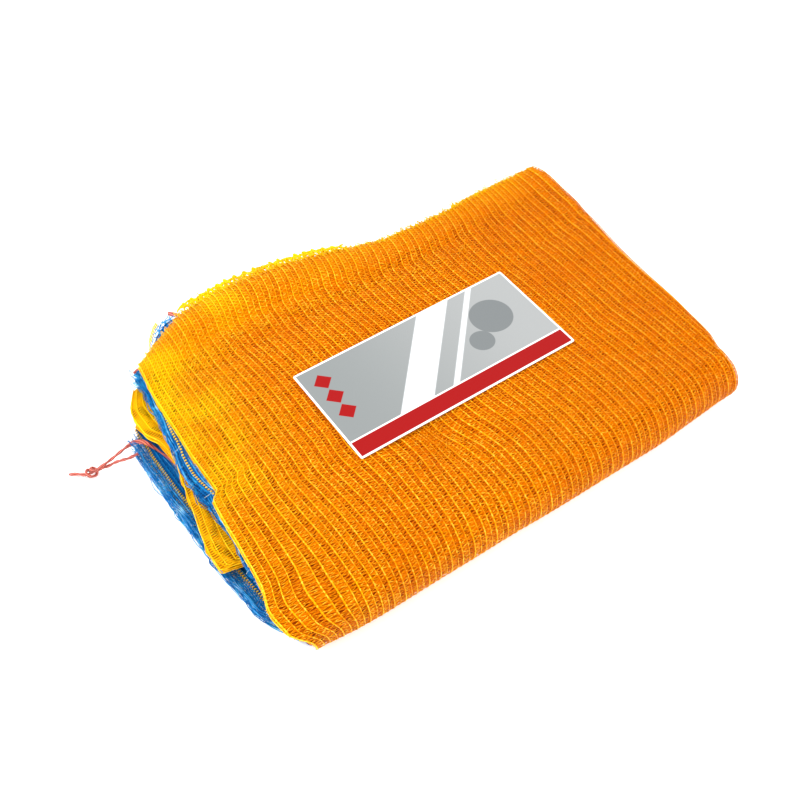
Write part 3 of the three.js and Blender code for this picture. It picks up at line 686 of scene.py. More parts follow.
def free_tube(path, half_width, half_height, sides, twist):
    """Tube along one path in space. Its flat section turns by twist, in turns a metre."""
    ahead = np.gradient(path, axis=0)
    ahead /= np.linalg.norm(ahead, axis=1, keepdims=True)
    side = np.cross(ahead, (0.0, 0.0, 1.0))
    side /= np.linalg.norm(side, axis=1, keepdims=True)
    up = np.cross(side, ahead)
    length = np.concatenate([[0], np.cumsum(np.linalg.norm(np.diff(path, axis=0), axis=1))])
    turn = 2 * np.pi * twist * length[:, None]
    angle = 2 * np.pi * np.arange(sides) / sides
    wide = half_width * np.cos(angle) * np.cos(turn) - half_height * np.sin(angle) * np.sin(turn)
    high = half_width * np.cos(angle) * np.sin(turn) + half_height * np.sin(angle) * np.cos(turn)
    points = path[:, None] + side[:, None] * wide[..., None] + up[:, None] * high[..., None]
    around = np.broadcast_to(np.arange(sides) / sides, wide.shape)
    uv = np.stack([around, np.broadcast_to(length[:, None] / STITCH, wide.shape)], -1)
    return points.reshape(-1, 3), ring_faces(1, len(path), sides), uv.reshape(-1, 2)


def facing_out(points, faces):
    """The same faces, turned over where the closed body they make would have its inside out."""
    volume = 0.0
    for group in faces:
        group = np.atleast_2d(group)
        for i in range(1, group.shape[1] - 1):
            a, b, c = points[group[:, 0]], points[group[:, i]], points[group[:, i + 1]]
            volume += np.einsum("ij,ij->", a, np.cross(b, c))
    return faces if volume > 0 else [group[:, ::-1] for group in faces]


def make_piece(name, parts, material, replaced=(), smooth_faces=True):
    """One mesh object from one or more (points, faces, uv) parts. It rides on the bundle."""
    parts = [(points, facing_out(points, faces), uv) for points, faces, uv in parts]
    points = np.concatenate([part[0] for part in parts])
    uv = np.concatenate([part[2] for part in parts])
    faces, offset = [], 0
    for part in parts:
        faces += [group + offset for group in part[1]]
        offset += len(part[0])
    mesh = bpy.data.meshes.new(name)
    corners = np.concatenate([group.ravel() for group in faces]).astype(np.int32)
    sizes = np.concatenate([np.full(len(group), group.shape[1]) for group in faces])
    starts = np.concatenate([[0], np.cumsum(sizes)[:-1]]).astype(np.int32)
    mesh.vertices.add(len(points))
    mesh.vertices.foreach_set("co", points.astype(np.float32).ravel())
    mesh.loops.add(len(corners))
    mesh.loops.foreach_set("vertex_index", corners)
    mesh.polygons.add(len(sizes))
    mesh.polygons.foreach_set("loop_start", starts)
    mesh.update(calc_edges=True)
    layer = mesh.uv_layers.new(name="cloth")
    layer.data.foreach_set("uv", uv[corners].astype(np.float32).ravel())
    mesh.polygons.foreach_set("use_smooth", np.full(len(sizes), smooth_faces))
    mesh.validate()
    mesh.materials.append(material)
    piece = bpy.data.objects.new(name, mesh)
    bpy.context.scene.collection.objects.link(piece)
    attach(piece, "root")
    if replaced:
        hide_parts(*replaced)
    return piece


class Finish:
    """A material's nodes, each made and joined in one call."""

    def __init__(self, name):
        self.material = bpy.data.materials.new(name)
        self.material.use_nodes = True
        self.tree = self.material.node_tree
        self.shader = self.tree.nodes["Principled BSDF"]

    def node(self, kind, **settings):
        made = self.tree.nodes.new(kind)
        for name, value in settings.items():
            setattr(made, name, value)
        return made

    def put(self, value, socket):
        if hasattr(value, "is_output"):
            self.tree.links.new(value, socket)
        else:
            socket.default_value = value

    def math(self, operation, a, b=0.0, c=0.0):
        made = self.node("ShaderNodeMath", operation=operation)
        for value, socket in zip((a, b, c), made.inputs):
            self.put(value, socket)
        return made.outputs[0]

    def times(self, a, b):
        return self.math("MULTIPLY", a, b)

    def plus(self, a, b):
        return self.math("ADD", a, b)

    def minus(self, a, b):
        return self.math("SUBTRACT", a, b)

    def axes(self, vector):
        made = self.node("ShaderNodeSeparateXYZ")
        self.put(vector, made.inputs[0])
        return made.outputs

    def object_place(self):
        return self.node("ShaderNodeTexCoord").outputs["Object"]

    def cloth_place(self):
        return self.node("ShaderNodeUVMap", uv_map="cloth").outputs[0]

    def noise(self, vector, scale, detail=2.0):
        made = self.node("ShaderNodeTexNoise")
        self.put(vector, made.inputs["Vector"])
        made.inputs["Scale"].default_value = scale
        made.inputs["Detail"].default_value = detail
        return made.outputs["Fac"]

    def ramp(self, value, low, high, to_low=0.0, to_high=1.0):
        made = self.node("ShaderNodeMapRange", interpolation_type="SMOOTHSTEP")
        for number, socket in zip((value, low, high, to_low, to_high), made.inputs):
            self.put(number, socket)
        return made.outputs[0]

    def mix(self, factor, a, b):
        made = self.node("ShaderNodeMix", data_type="RGBA")
        sockets = [made.inputs[0], made.inputs[6], made.inputs[7]]
        for value, socket in zip((factor, a, b), sockets):
            self.put(value, socket)
        return made.outputs[2]

    def bump(self, height, distance):
        made = self.node("ShaderNodeBump")
        made.inputs["Strength"].default_value = 1.0
        made.inputs["Distance"].default_value = distance
        self.put(height, made.inputs["Height"])
        self.put(made.outputs[0], self.shader.inputs["Normal"])

    def surface(self, colour, roughness, specular=0.5, sheen=(1.0, 1.0, 1.0, 1.0)):
        self.put(colour, self.shader.inputs["Base Color"])
        self.put(roughness, self.shader.inputs["Roughness"])
        self.shader.inputs["Specular IOR Level"].default_value = specular
        self.shader.inputs["Specular Tint"].default_value = sheen
        return self.material


def shade(red, green, blue):
    """A colour given as it looks, 0 to 255, as the linear values that shaders take."""
    part = np.array([red, green, blue]) / 255
    linear = np.where(part < 0.04045, part / 12.92, ((part + 0.055) / 1.055) ** 2.4)
    return (*linear, 1.0)


# Colours that the materials mix in
ORANGE_SHEEN = shade(255, 190, 60)
WORN_ORANGE = shade(206, 92, 0)
FAR_ORANGE = shade(214, 96, 0)
LIT_STRAND = shade(255, 214, 12)
# Painted shade in the knit's channels
CHANNEL_SHADE_ORANGE = shade(198, 84, 0)
LIT_CLOTH = shade(244, 170, 2)
# Painted shade in the orange knit's eyes, and in them where light comes through
ORANGE_EYE_SHADE = shade(136, 46, 0)
LIT_EYE_SHADE = shade(56, 38, 6)
BLUE_SHEEN = shade(120, 200, 255)
DEEP_BLUE = shade(2, 62, 124)
MIDDLE_BLUE = shade(4, 106, 180)
# Painted shade in the blue knit's eyes
BLUE_EYE_SHADE = shade(2, 30, 74)
YELLOW_EYE = shade(206, 146, 10)
# Painted shade and painted highlight of the string's creases
SHADED_SALMON = shade(168, 62, 50)
SALMON_HIGHLIGHT = shade(232, 128, 112)
STAINED_SALMON = shade(128, 36, 30)
CARD_SILVER = shade(126, 130, 130)
CARD_LIGHT_SILVER = shade(152, 154, 154)
# Painted highlight of the card's slanting bands
CARD_HIGHLIGHT = shade(226, 228, 230)
CARD_GREY = shade(112, 116, 117)
CARD_WHITE = shade(240, 240, 240)
CARD_BORDER = shade(244, 244, 246)
CARD_RED = shade(146, 2, 3)


def back_light(finish, spot):
    """How much light comes through the knit: most at the back edge and at the left end."""
    x, y, _ = finish.axes(spot)
    back = finish.times(finish.ramp(y, 0.100, 0.165), finish.ramp(x, -0.040, -0.120, 0.4, 0.9))
    left = finish.ramp(x, -0.110, -0.205)
    behind = finish.ramp(y, -0.13, 0.10, 0.10, 1.0)
    both = finish.times(left, behind)
    patchy = finish.ramp(finish.noise(spot, 28.0), 0.35, 0.65, 0.35, 1.0)
    _, stitch, _ = finish.axes(finish.cloth_place())
    rim = finish.math("MAXIMUM", back, finish.ramp(stitch, 4.0, 0.5, 0.0, 0.6))
    light = finish.math("MAXIMUM", rim, both)
    return finish.times(light, patchy)


def orange_strand(name, dark, plain, bright):
    """Polyethylene tape: glossy, unevenly stretched, paler where light comes through."""
    finish = Finish(name)
    spot = finish.object_place()
    uneven = finish.noise(spot, 480.0, 2.0)
    broad = finish.noise(spot, 26.0, 2.0)
    base = finish.mix(finish.ramp(uneven, 0.38, 0.55), dark, plain)
    base = finish.mix(finish.ramp(uneven, 0.53, 0.63), base, bright)
    base = finish.mix(finish.ramp(broad, 0.42, 0.7, 0.0, 0.3), base, WORN_ORANGE)
    x, _, _ = finish.axes(spot)
    base = finish.mix(finish.ramp(x, -0.02, 0.14, 0.0, 0.34), base, FAR_ORANGE)
    base = finish.mix(back_light(finish, spot), base, LIT_STRAND)
    return finish.surface(base, 0.42, 0.3, ORANGE_SHEEN)


def eyes(finish, columns, half_width, half_height):
    """Eyes of a knit, one to a stitch in every column of it, staggered: a mask that the materials
    paint mostly dark, as painted shade seen through the holes, and use for bump. The half sizes of
    the ovals are shares of a cell."""
    wale, stitch, _ = finish.axes(finish.cloth_place())
    column = finish.times(wale, columns)
    odd = finish.times(finish.math("FLOOR", column), 0.5)
    side = finish.minus(finish.math("FRACT", column), 0.5)
    row = finish.minus(finish.math("FRACT", finish.plus(stitch, odd)), 0.5)
    side = finish.math("POWER", finish.times(side, 1 / half_width), 2.0)
    row = finish.math("POWER", finish.times(row, 1 / half_height), 2.0)
    return finish.ramp(finish.plus(side, row), 1.5, 0.4)


def orange_cloth(name, dark, bright):
    """The layers of knit below the strands, with painted shade: rows of dark eyes, deeper in the
    channels, and darker channels.
    """
    finish = Finish(name)
    spot = finish.object_place()
    eye = eyes(finish, 2.0, 0.42, 0.30)
    wale, _, _ = finish.axes(finish.cloth_place())
    phase = finish.math("FRACT", wale)
    channel = finish.times(finish.ramp(phase, 0.50, 0.62), finish.ramp(phase, 1.0, 0.9))
    _, y, _ = finish.axes(spot)
    patchy = finish.ramp(finish.noise(spot, 120.0, 3.0), 0.36, 0.6, 0.3, 1.0)
    strength = finish.times(patchy, finish.ramp(y, 0.112, 0.122, 1.0, 0.35))
    depth = finish.times(finish.times(eye, strength), finish.ramp(channel, 0.0, 1.0, 0.75, 1.0))
    light = back_light(finish, spot)
    base = finish.mix(finish.noise(spot, 180.0, 3.0), dark, bright)
    # Painted shade: the channels are darkened
    base = finish.mix(finish.times(channel, 0.35), base, CHANNEL_SHADE_ORANGE)
    base = finish.mix(light, base, LIT_CLOTH)
    # Painted shade in the eyes
    hole = finish.mix(light, ORANGE_EYE_SHADE, LIT_EYE_SHADE)
    base = finish.mix(depth, base, hole)
    finish.bump(finish.minus(1.0, depth), 0.0008)
    return finish.surface(base, 0.5, 0.15, ORANGE_SHEEN)


def blue_strand(name, dark, plain, bright):
    """Blue tape: glossy, in three blues that change along it."""
    finish = Finish(name)
    spot = finish.object_place()
    base = finish.mix(finish.ramp(finish.noise(spot, 240.0, 3.0), 0.3, 0.7), dark, plain)
    base = finish.mix(finish.ramp(finish.noise(spot, 60.0), 0.5, 0.75), base, bright)
    return finish.surface(base, 0.4, 0.3, BLUE_SHEEN)


def blue_cloth(name):
    """Blue knit whose eyes are painted dark as shade, with a row of yellow eyes near each lip,
    where the orange net behind it shows.
    """
    finish = Finish(name)
    spot = finish.object_place()
    eye = eyes(finish, 2.8, 0.34, 0.34)
    wale, _, _ = finish.axes(finish.cloth_place())
    from_near, from_far = [finish.math("ABSOLUTE", finish.minus(wale, row))
                           for row in (HEM_EYES, FAR_HEM_EYES)]
    from_row = finish.math("MINIMUM", from_near, from_far)
    patch = finish.times(finish.ramp(from_row, 0.30, 0.24),
                         finish.ramp(finish.noise(spot, 40.0, 2.0), 0.42, 0.48))
    base = finish.mix(finish.noise(spot, 200.0), DEEP_BLUE, MIDDLE_BLUE)
    # Eyes: painted shade, yellow where the orange net shows
    hole = finish.mix(patch, BLUE_EYE_SHADE, YELLOW_EYE)
    base = finish.mix(finish.times(eye, 0.85), base, hole)
    finish.bump(finish.minus(1.0, eye), 0.0005)
    return finish.surface(base, 0.45, 0.2, BLUE_SHEEN)


def salmon_tape(name):
    """Film string, folded along its length into fine creases, with painted shade and painted
    highlight along them.
    """
    finish = Finish(name)
    spot = finish.object_place()
    around, along, _ = finish.axes(finish.cloth_place())
    twist = finish.plus(finish.times(around, 5.0), finish.times(along, 0.35))
    crease = finish.math("SINE", finish.times(twist, 2 * np.pi))
    # Painted shade and highlight along the creases
    base = finish.mix(finish.ramp(crease, -0.9, 0.9), SHADED_SALMON, SALMON_HIGHLIGHT)
    base = finish.mix(finish.ramp(finish.noise(spot, 150.0), 0.55, 0.75, 0.0, 0.6), base,
                      STAINED_SALMON)
    finish.bump(crease, 0.0003)
    return finish.surface(base, 0.45, 0.4)


def card_print(name):
    """Glossy card: thin white border, silver field with two pale slanting bands of painted
    highlight, a red strip along the front, three red lozenges at the left and two grey discs at the
    right."""
    finish = Finish(name)
    x, y, _ = finish.axes(finish.object_place())
    from_side = finish.minus(CARD_LENGTH / 2, finish.math("ABSOLUTE", x))
    from_front = finish.minus(CARD_WIDTH / 2, finish.math("ABSOLUTE", y))
    inside = finish.ramp(finish.math("MINIMUM", from_side, from_front), 0.0014, 0.0018)
    slant = finish.plus(x, finish.times(y, -0.9))
    field = finish.mix(finish.ramp(x, -0.1, 0.1), CARD_SILVER, CARD_LIGHT_SILVER)
    # Two slanting bands of painted highlight
    for middle, half in CARD_HIGHLIGHT_BANDS:
        away = finish.math("ABSOLUTE", finish.minus(slant, middle))
        field = finish.mix(finish.ramp(away, half, half - 0.002, 0.0, 0.85), field, CARD_HIGHLIGHT)
    for middle_x, middle_y, radius in CARD_DISCS:
        aside = finish.math("POWER", finish.minus(x, middle_x), 2.0)
        ahead = finish.math("POWER", finish.minus(y, middle_y), 2.0)
        away = finish.math("SQRT", finish.plus(aside, ahead))
        field = finish.mix(finish.ramp(away, radius, radius - 0.0006, 0.0, 1.0), field, CARD_GREY)
    line = finish.times(finish.ramp(y, *CARD_LINE), inside)
    strip = finish.times(finish.ramp(y, *CARD_STRIP), inside)
    field = finish.mix(line, field, CARD_WHITE)
    field = finish.mix(strip, field, CARD_RED)
    row = finish.times(finish.plus(y, -LOZENGE_ROW_Y), 1 / LOZENGE_PITCH)
    from_row = finish.math("ABSOLUTE", finish.minus(finish.math("FRACT", row), 0.5))
    away_x = finish.math("ABSOLUTE", finish.plus(x, -LOZENGE_X))
    lozenge = finish.plus(finish.times(from_row, LOZENGE_PITCH), away_x)
    inner = finish.ramp(lozenge, 0.0085, 0.0080)
    between = finish.times(finish.ramp(y, *LOZENGES_FROM), finish.ramp(y, *LOZENGES_TO))
    field = finish.mix(finish.times(inner, between), field, CARD_RED)
    base = finish.mix(inside, CARD_BORDER, field)
    return finish.surface(base, 0.35, 0.2)


def plain(name, colour, roughness):
    """One even colour."""
    return Finish(name).surface(colour, roughness)


ORANGE_MAIN = orange_strand("bright pillar tape", shade(232, 146, 0), shade(246, 170, 8),
                            shade(252, 200, 60))
ORANGE = orange_strand("orange tape", shade(214, 116, 0), shade(236, 150, 2), shade(250, 192, 50))
FINE = orange_strand("fine pillar tape", shade(220, 128, 0), shade(240, 160, 4),
                     shade(252, 198, 56))
CHANNEL = orange_strand("shaded tape", shade(200, 98, 0), shade(226, 130, 0), shade(246, 172, 30))
# Orange tape, painted yellow with the light that comes through it at thin edges and single layers
BACKLIT_ORANGE = orange_strand("back-lit edge tape", shade(240, 168, 6), shade(255, 206, 20),
                            shade(255, 226, 60))
ORANGE_CLOTH = orange_cloth("orange knit below", shade(216, 104, 0), shade(234, 130, 0))
# Inner sack's orange knit, painted yellow with the light that comes through it
BACKLIT_YELLOW_CLOTH = orange_cloth("back-lit knit inside", shade(222, 144, 6), shade(238, 178, 16))
BLUE = blue_strand("blue tape", shade(0, 86, 156), shade(6, 126, 198), shade(72, 190, 238))
# Blue threads painted lighter, as painted highlights on the blue knit
BLUE_HIGHLIGHT = blue_strand("highlight blue thread", shade(20, 126, 215), shade(84, 186, 240),
                         shade(190, 230, 250))
BLUE_CLOTH = blue_cloth("blue knit below")
PALE = plain("pale thread", shade(205, 218, 205), 0.4)
SALMON = salmon_tape("salmon string")
CARD = card_print("printed card")

# Camera, where the photograph was taken from
camera_data = bpy.data.cameras.new("camera")
camera_data.lens = CAMERA_LENS
camera_data.sensor_width = CAMERA_SENSOR
camera_data.dof.use_dof = False
camera = bpy.data.objects.new("camera", camera_data)
camera.location = CAMERA_PLACE
look = Vector(CAMERA_TARGET) - Vector(CAMERA_PLACE)
camera.rotation_euler = look.to_track_quat("-Z", "Y").to_euler()
bpy.context.scene.collection.objects.link(camera)
bpy.context.scene.camera = camera
bpy.context.scene.view_settings.view_transform = "Standard"

# Drawstring ends, the string that shows in the hems, and the knot
long_path = curve_through(np.array(LONG_EXIT) + LONG_ROUTE, 8)
short_path = curve_through(np.array(SHORT_EXIT) + SHORT_ROUTE, 8)
knot_path = curve_through(np.array(KNOT_PLACE) + KNOT_ROUTE, 8)
drawstring_long = make_piece("drawstring_long", [free_tube(long_path, *LONG_STRAND)],
                             SALMON, ["drawstring_long_end"])
drawstring_short = make_piece("drawstring_short", [free_tube(short_path, *SHORT_STRAND)],
                              SALMON, ["drawstring_short_end"])
shown_string = [free_tube(curve_through(SHOWN_STRING, 8), *SHOWN_TAPE)]
shown_string += [free_tube(curve_through(bit, 6), *SHOWN_BIT) for bit in SHOWN_BITS]
make_piece("drawstring_in_hem", shown_string, SALMON)
drawstring_knot = make_piece("drawstring_overhand_knot", [free_tube(knot_path, *KNOT_STRAND)],
                             SALMON, ["drawstring_knot"])


def cloth_layers(rows, outward, grids, seed, material, solid):
    """A sack's layers of thin cloth. The first one has the first grid and replaces the solid."""
    made = []
    for number, (name, depth, ragged) in enumerate(rows):
        part = sack_layer(outward, depth, ragged, seed + number, grids[min(number, 1)])
        made.append(make_piece(name, [part], material, [] if number else [solid]))
    return made


# Outer sack: thin layers of cloth, with the knit's wales and wefts on the outermost
shown_grid = sack_grid(RIB_PITCH / 2, 40, 58, 24, 24)
hidden_grid = sack_grid(1.5 * RIB_PITCH, 30, 48, 16, 18)
outer_layers = cloth_layers(OUTER_LAYERS, knit_place, [shown_grid, hidden_grid], 31,
                            ORANGE_CLOTH, "outer_sack_net")
knit_along = np.arange(0, ALONG_NOSE + PAST_NOSE, STITCH / 2)
wale_across = np.arange(-HALF_LENGTH, LAST_WALE_X + 3.2 * RIB_PITCH, RIB_PITCH)
fine_across = wale_across + FINE_WALE * RIB_PITCH
main_wales = make_piece("outer_sack_main_wales",
                        [wales(wale_across[1:], knit_along, *MAIN_WALE, knit_place)],
                        ORANGE_MAIN)
fine_wales = make_piece("outer_sack_fine_wales",
                        [wales(fine_across, knit_along, *FINE_WALE_STRAND, knit_place)],
                        FINE)
edge_wales = make_piece("outer_sack_edge_wales", edge_cords(OUTER_EDGE, knit_along, knit_place),
                       BACKLIT_ORANGE)

# Loops at the outer sack's left edge
some = spreader(EDGE_LOOPS)
edge_loops = make_piece("outer_sack_edge_loops", [arcs(
    (-HALF_LENGTH, some(0, ALONG_NOSE), some(-0.0030, 0.0004)),
    (0.0, some(0.0008, 0.0030), 0.0),
    (-some(0.0005, 0.0022), 0.0, some(-0.001, 0.001)),
    EDGE_LOOP_HALF, knit_place)], BACKLIT_ORANGE)

# Fuzz, loops and scallops at its back edge
half_of_them = spreader(BACK_LOOPS // 2)
back_across = np.concatenate([half_of_them(-0.200, 0.200), half_of_them(-0.128, -0.040)])
some = spreader(BACK_FUZZ)
back_fuzz = make_piece("outer_sack_back_fuzz", [arcs(
    (some(-0.150, 0.185), some(0.0, 0.0045), some(-0.0010, 0.0006)),
    (some(-0.0035, 0.0035), some(-0.0015, 0.0015), 0.0),
    (0.0, -some(0.0, 0.0026), some(0.0, 0.0010)),
    BACK_FUZZ_HALF, knit_place, 5)], ORANGE_MAIN)
some = spreader(BACK_LOOPS)
scallop_across = np.arange(-0.140, 0.000, 0.8 * RIB_PITCH)
each = spreader(len(scallop_across))
back_loops = make_piece("outer_sack_back_loops", [
    arcs((back_across, some(-0.0006, 0.0040), some(-0.0020, 0.0004)),
         (some(-0.005, 0.005), some(-0.001, 0.001), 0.0),
         (some(-0.002, 0.002), -some(0.001, 0.0072), some(-0.0015, 0.0015)),
         BACK_LOOP_HALF, knit_place, 9),
    arcs((scallop_across, 0.0010, -0.0005), (0.7 * RIB_PITCH, 0.0, 0.0),
         (0.0, -each(0.006, 0.0095), 0.0), BACK_SCALLOP_HALVES[0], knit_place, 11),
    arcs((scallop_across + RIB_PITCH / 2, 0.0010, -0.0012), (0.8 * RIB_PITCH, 0.0, 0.0),
         (0.0, -each(0.004, 0.008), 0.0), BACK_SCALLOP_HALVES[1], knit_place, 11),
    arcs((scallop_across + each(-0.004, 0.004), -0.0045, -0.0008),
         (2.2 * RIB_PITCH, each(-0.002, 0.002), 0.0), (0.0, -each(-0.001, 0.003), 0.0),
         BACK_SCALLOP_HALVES[2], knit_place, 13),
], ORANGE_MAIN)

# Stitches that stand up all over the top, and a closer row of them along its long crease
some = spreader(RAISED_STITCHES)
raised_stitches = make_piece("outer_sack_raised_stitches", [arcs(
    (some(-0.205, 0.205), some(0.0, TOP_LENGTH + 0.6 * NOSE_LENGTH), 0.0002),
    (some(-0.0022, 0.0022), some(-0.0022, 0.0022), 0.0), (0.0, 0.0, some(0.0002, 0.0008)),
    RAISED_STITCH_HALF, knit_place, 4)], ORANGE_MAIN)
some = spreader(CREASE_STITCHES)
crease_across = some(-0.165, 0.110)
crease_along = 0.050 + 0.02 * (crease_across + 0.03) + rng.normal(0, 0.0034, CREASE_STITCHES)
crease_stitches = make_piece("outer_sack_crease_stitches", [arcs(
    (crease_across, crease_along, 0.0002),
    (some(-0.0035, 0.0035), some(-0.0015, 0.0015), 0.0), (0.0, 0.0, some(0.0002, 0.0010)),
    CREASE_STITCH_HALF, knit_place, 5)], ORANGE_MAIN)

# Wefts between its wales
weft_along = np.arange(0, ALONG_NOSE + PAST_NOSE, WEFT_STEP)
rib_wefts = make_piece("outer_sack_rib_wefts",
                       [wefts(wale_across, fine_across, weft_along, *RIB_WEFT, knit_place)],
                       ORANGE)
channel_wefts = make_piece("outer_sack_channel_wefts",
                           [wefts(fine_across[:-1], wale_across[1:], weft_along, *CHANNEL_WEFT,
                                  knit_place)], CHANNEL)

# Inner sack
for layer in cloth_layers(INNER_LAYERS, inner_knit_place, [hidden_grid, hidden_grid], 51,
                          BACKLIT_YELLOW_CLOTH, "inner_sack_net"):
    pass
inner_across = -HALF_LENGTH + RIB_PITCH / 2 * np.arange(1, 8)
inner_along = np.arange(0, ALONG_NOSE, STITCH / 2)
make_piece("inner_sack_edge_wales", edge_cords(INNER_EDGE, inner_along, inner_knit_place),
           BACKLIT_ORANGE)
make_piece("inner_sack_wales", [
    wales(inner_across, inner_along, *INNER_WALE, inner_knit_place, 3),
    wefts(inner_across[:-1], inner_across[1:], inner_along, *INNER_WEFT, inner_knit_place),
], BACKLIT_ORANGE)


def build_hem(name, low, high, flare, seed, loop_count, thread_count):
    """One hem's sleeve of cloth with all that is on it, and the string held in it. Its lips stand
    open by a few millimetres, more where the hem runs under the bundle."""
    sleeve = hem_place(low, high, flare, seed)
    round_length = 2 * HEM_WIDTH + (np.pi / 2 - 1) * (high - low)
    stitches = np.arange(0, ALONG_ALL, STITCH / 2)

    def sleeve_cloth(out):
        def surface(across, along):
            open_lip = LIP_OPEN + LIP_OPEN_BELOW * step(1.85, 2.1, run_at(along))
            return sleeve(open_lip + across * (1 - 2 * open_lip / round_length), along, out)
        return surface

    cloth = sheet(np.linspace(0, round_length, 48), np.linspace(0, ALONG_ALL, 220),
                  sleeve_cloth(-0.0003), sleeve_cloth(-0.0009))
    cloth_piece = make_piece(name + "_cloth", [cloth], BLUE_CLOTH, [name])
    near_lip = np.arange(0, HEM_WALES_END, HEM_WALE_PITCH)
    lines = np.concatenate([near_lip, round_length - near_lip[::-1]])
    chains = make_piece(name + "_wales", [wales(lines, stitches, *HEM_WALE, sleeve, 3)],
                        BLUE)
    close = np.diff(lines) < 1.5 * HEM_WALE_PITCH
    hem_wefts = make_piece(name + "_wefts", [wefts(lines[:-1][close], lines[1:][close],
                                                   stitches[::2], *HEM_WEFT, sleeve)],
                           BLUE)
    some = spreader(loop_count)
    fringe = make_piece(name + "_loops", [
        arcs((lip - outward * some(-0.0005, 0.004), some(0, ALONG_ALL), 0.0),
             (some(-0.0006, 0.0006), some(0.008, 0.030), 0.0),
             (outward * some(-0.0008, 0.0026), some(-0.002, 0.002), some(-0.0006, 0.0014)),
             HEM_LOOP_HALF, sleeve, 15)
        for lip, outward in ((0.0, -1), (round_length, 1))], BLUE)
    some = spreader(thread_count)
    side = rng.random(thread_count) < 0.4
    offset = 0.016 * rng.random(thread_count) ** 1.5 - 0.0005
    long_threads = make_piece(name + "_threads", [threads(
        np.where(side, offset, round_length - offset), some(0, ALONG_ALL - LONGEST_THREAD),
        some(0.02, LONGEST_THREAD), HEM_THREAD_HALF, THREAD_SWAY, sleeve, seed + 5)],
        BLUE_HIGHLIGHT)
    some = spreader(PALE_THREADS)
    pale_threads = make_piece(name + "_pale_threads", [arcs(
        (0.004, some(0.03, TOP_LENGTH), 0.0006), (some(0.008, 0.016), some(-0.006, 0.006), 0.0),
        (0.0, 0.0, 0.0008), PALE_THREAD_HALF, sleeve, 7)], PALE)
    near_row, far_row = HEM_EYE_ROWS
    eye_along = np.arange(0.03, ALONG_ALL, HEM_EYE_PITCH)
    eye_dots = make_piece(name + "_eyes", [
        arcs((row, eye_along, 0.0006), (0.0020, 0.0006, 0.0), (0.0, 0.0, 0.0005), HEM_EYE_HALF,
             sleeve, 4)
        for row in (near_row, round_length - far_row)], BACKLIT_ORANGE)
    held = np.linspace(HELD_STRING_MARGIN, ALONG_ALL - HELD_STRING_MARGIN, 160)
    a, b = np.meshgrid(HELD_STRING_RUNS, held, indexing="ij")
    middle = np.full(a.shape, (low - high) / 2)
    string_radius = STRING_DIAMETER / 2
    string = tubes(np.stack([a, b, middle], -1), string_radius, string_radius, 8, sleeve)
    make_piece(name.replace("mouth_hem", "held_string"), [string], SALMON,
               [name.replace("mouth_hem", "drawstring")])


for row in HEMS:
    build_hem(*row)

# Corner of the outer hem, turned up past the sack's back edge
lobe_cloth = sheet(np.linspace(0, 0.66 * LOBE_WIDTH, 12), np.linspace(0, LOBE_LENGTH, 40),
                   lambda across, along: lobe_place(across, along, 0.0003),
                   lambda across, along: lobe_place(across, along, -0.0003))
lobe = make_piece("outer_sack_hem_corner_cloth", [lobe_cloth], BLUE_CLOTH)
lobe_lines = np.linspace(0.10, 0.74, 7) * LOBE_WIDTH
lobe_stitches = np.arange(0, LOBE_LENGTH, STITCH / 2)
some = spreader(LOBE_LOOPS)
lobe_strands = make_piece("outer_sack_hem_corner_strands", [
    wales(lobe_lines, lobe_stitches, *LOBE_WALE, lobe_place, 4),
    arcs((some(0.2, 0.85) * LOBE_WIDTH, some(0.05, 0.95) * LOBE_LENGTH, 0.0006),
         (some(-0.003, 0.003), some(0.002, 0.010), 0.0),
         (some(-0.002, 0.002), 0.0, some(0.0, 0.001)), 0.00036, lobe_place, 9),
], BLUE_HIGHLIGHT)
edge_stitches = lobe_stitches[:len(lobe_stitches) * 2 // 3]
lobe_edge = make_piece("outer_sack_hem_corner_edge", [
    wales(np.array([0.84, 0.92, 1.0]) * LOBE_WIDTH, edge_stitches, *LOBE_EDGE_WALE, lobe_place, 4),
], BACKLIT_ORANGE)

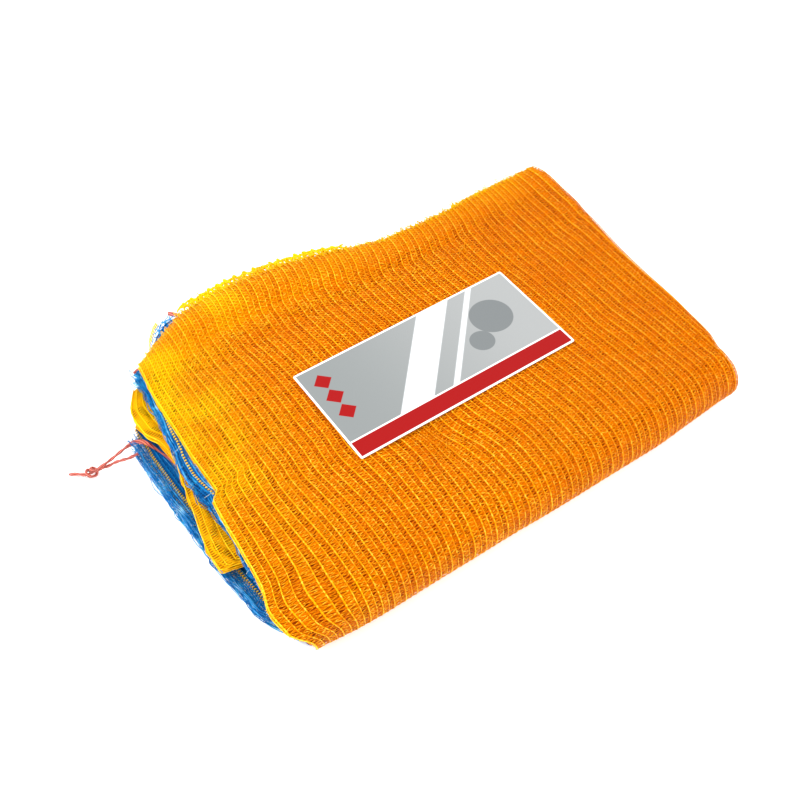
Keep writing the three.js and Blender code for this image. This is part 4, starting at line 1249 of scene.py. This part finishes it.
# Card: a rounded outline, drawn at its bottom and at its top
corner = np.linspace(0, np.pi / 2, CARD_ARC_POINTS)
turns = np.concatenate([corner + quarter * np.pi / 2 for quarter in range(4)])
middle_x = np.repeat([1, -1, -1, 1], CARD_ARC_POINTS) * (CARD_LENGTH / 2 - CARD_CORNER)
middle_y = np.repeat([1, 1, -1, -1], CARD_ARC_POINTS) * (CARD_WIDTH / 2 - CARD_CORNER)
outline = np.stack([middle_x + CARD_CORNER * np.cos(turns),
                    middle_y + CARD_CORNER * np.sin(turns)], -1)
bottom_z = HEIGHT + CARD_GAP
card_points = np.concatenate([
    np.column_stack([outline, np.full(len(outline), bottom_z)]),
    np.column_stack([outline, np.full(len(outline), bottom_z + CARD_THICKNESS)]),
])
card_faces = ring_faces(1, 2, len(outline))
make_piece("printed_card", [(card_points, card_faces, card_points[:, :2])], CARD,
           ["label_card"], smooth_faces=False)

# Floor, which gives a little light so that it stays white beside the orange net
floor_mesh = bpy.data.meshes.new("floor")
floor_corners = [(-1, -1), (1, -1), (1, 1), (-1, 1)]
floor_mesh.from_pydata([(x * FLOOR_REACH, y * FLOOR_REACH, 0) for x, y in floor_corners], [],
                       [(0, 1, 2, 3)])
floor_finish = Finish("floor")
floor_finish.shader.inputs["Emission Color"].default_value = (1.0, 1.0, 1.0, 1.0)
floor_finish.shader.inputs["Emission Strength"].default_value = FLOOR_GLOW
floor_mesh.materials.append(floor_finish.surface((0.98, 0.98, 0.98, 1.0), 0.9))
floor = bpy.data.objects.new("floor", floor_mesh)
bpy.context.scene.collection.objects.link(floor)


def area_light(name, place_at, size, power):
    """A square light that faces the origin."""
    data = bpy.data.lights.new(name, "AREA")
    data.shape = "SQUARE"
    data.size = size
    data.energy = power
    light = bpy.data.objects.new(name, data)
    light.location = place_at
    light.rotation_euler = (-Vector(place_at)).to_track_quat("-Z", "Y").to_euler()
    bpy.context.scene.collection.objects.link(light)


area_light("key light", *KEY_LIGHT)
area_light("front light", *FRONT_LIGHT)
world = bpy.data.worlds.new("white studio")
world.use_nodes = True
world.node_tree.nodes["Background"].inputs["Color"].default_value = (1.0, 1.0, 1.0, 1.0)
world.node_tree.nodes["Background"].inputs["Strength"].default_value = 1.0
bpy.context.scene.world = world
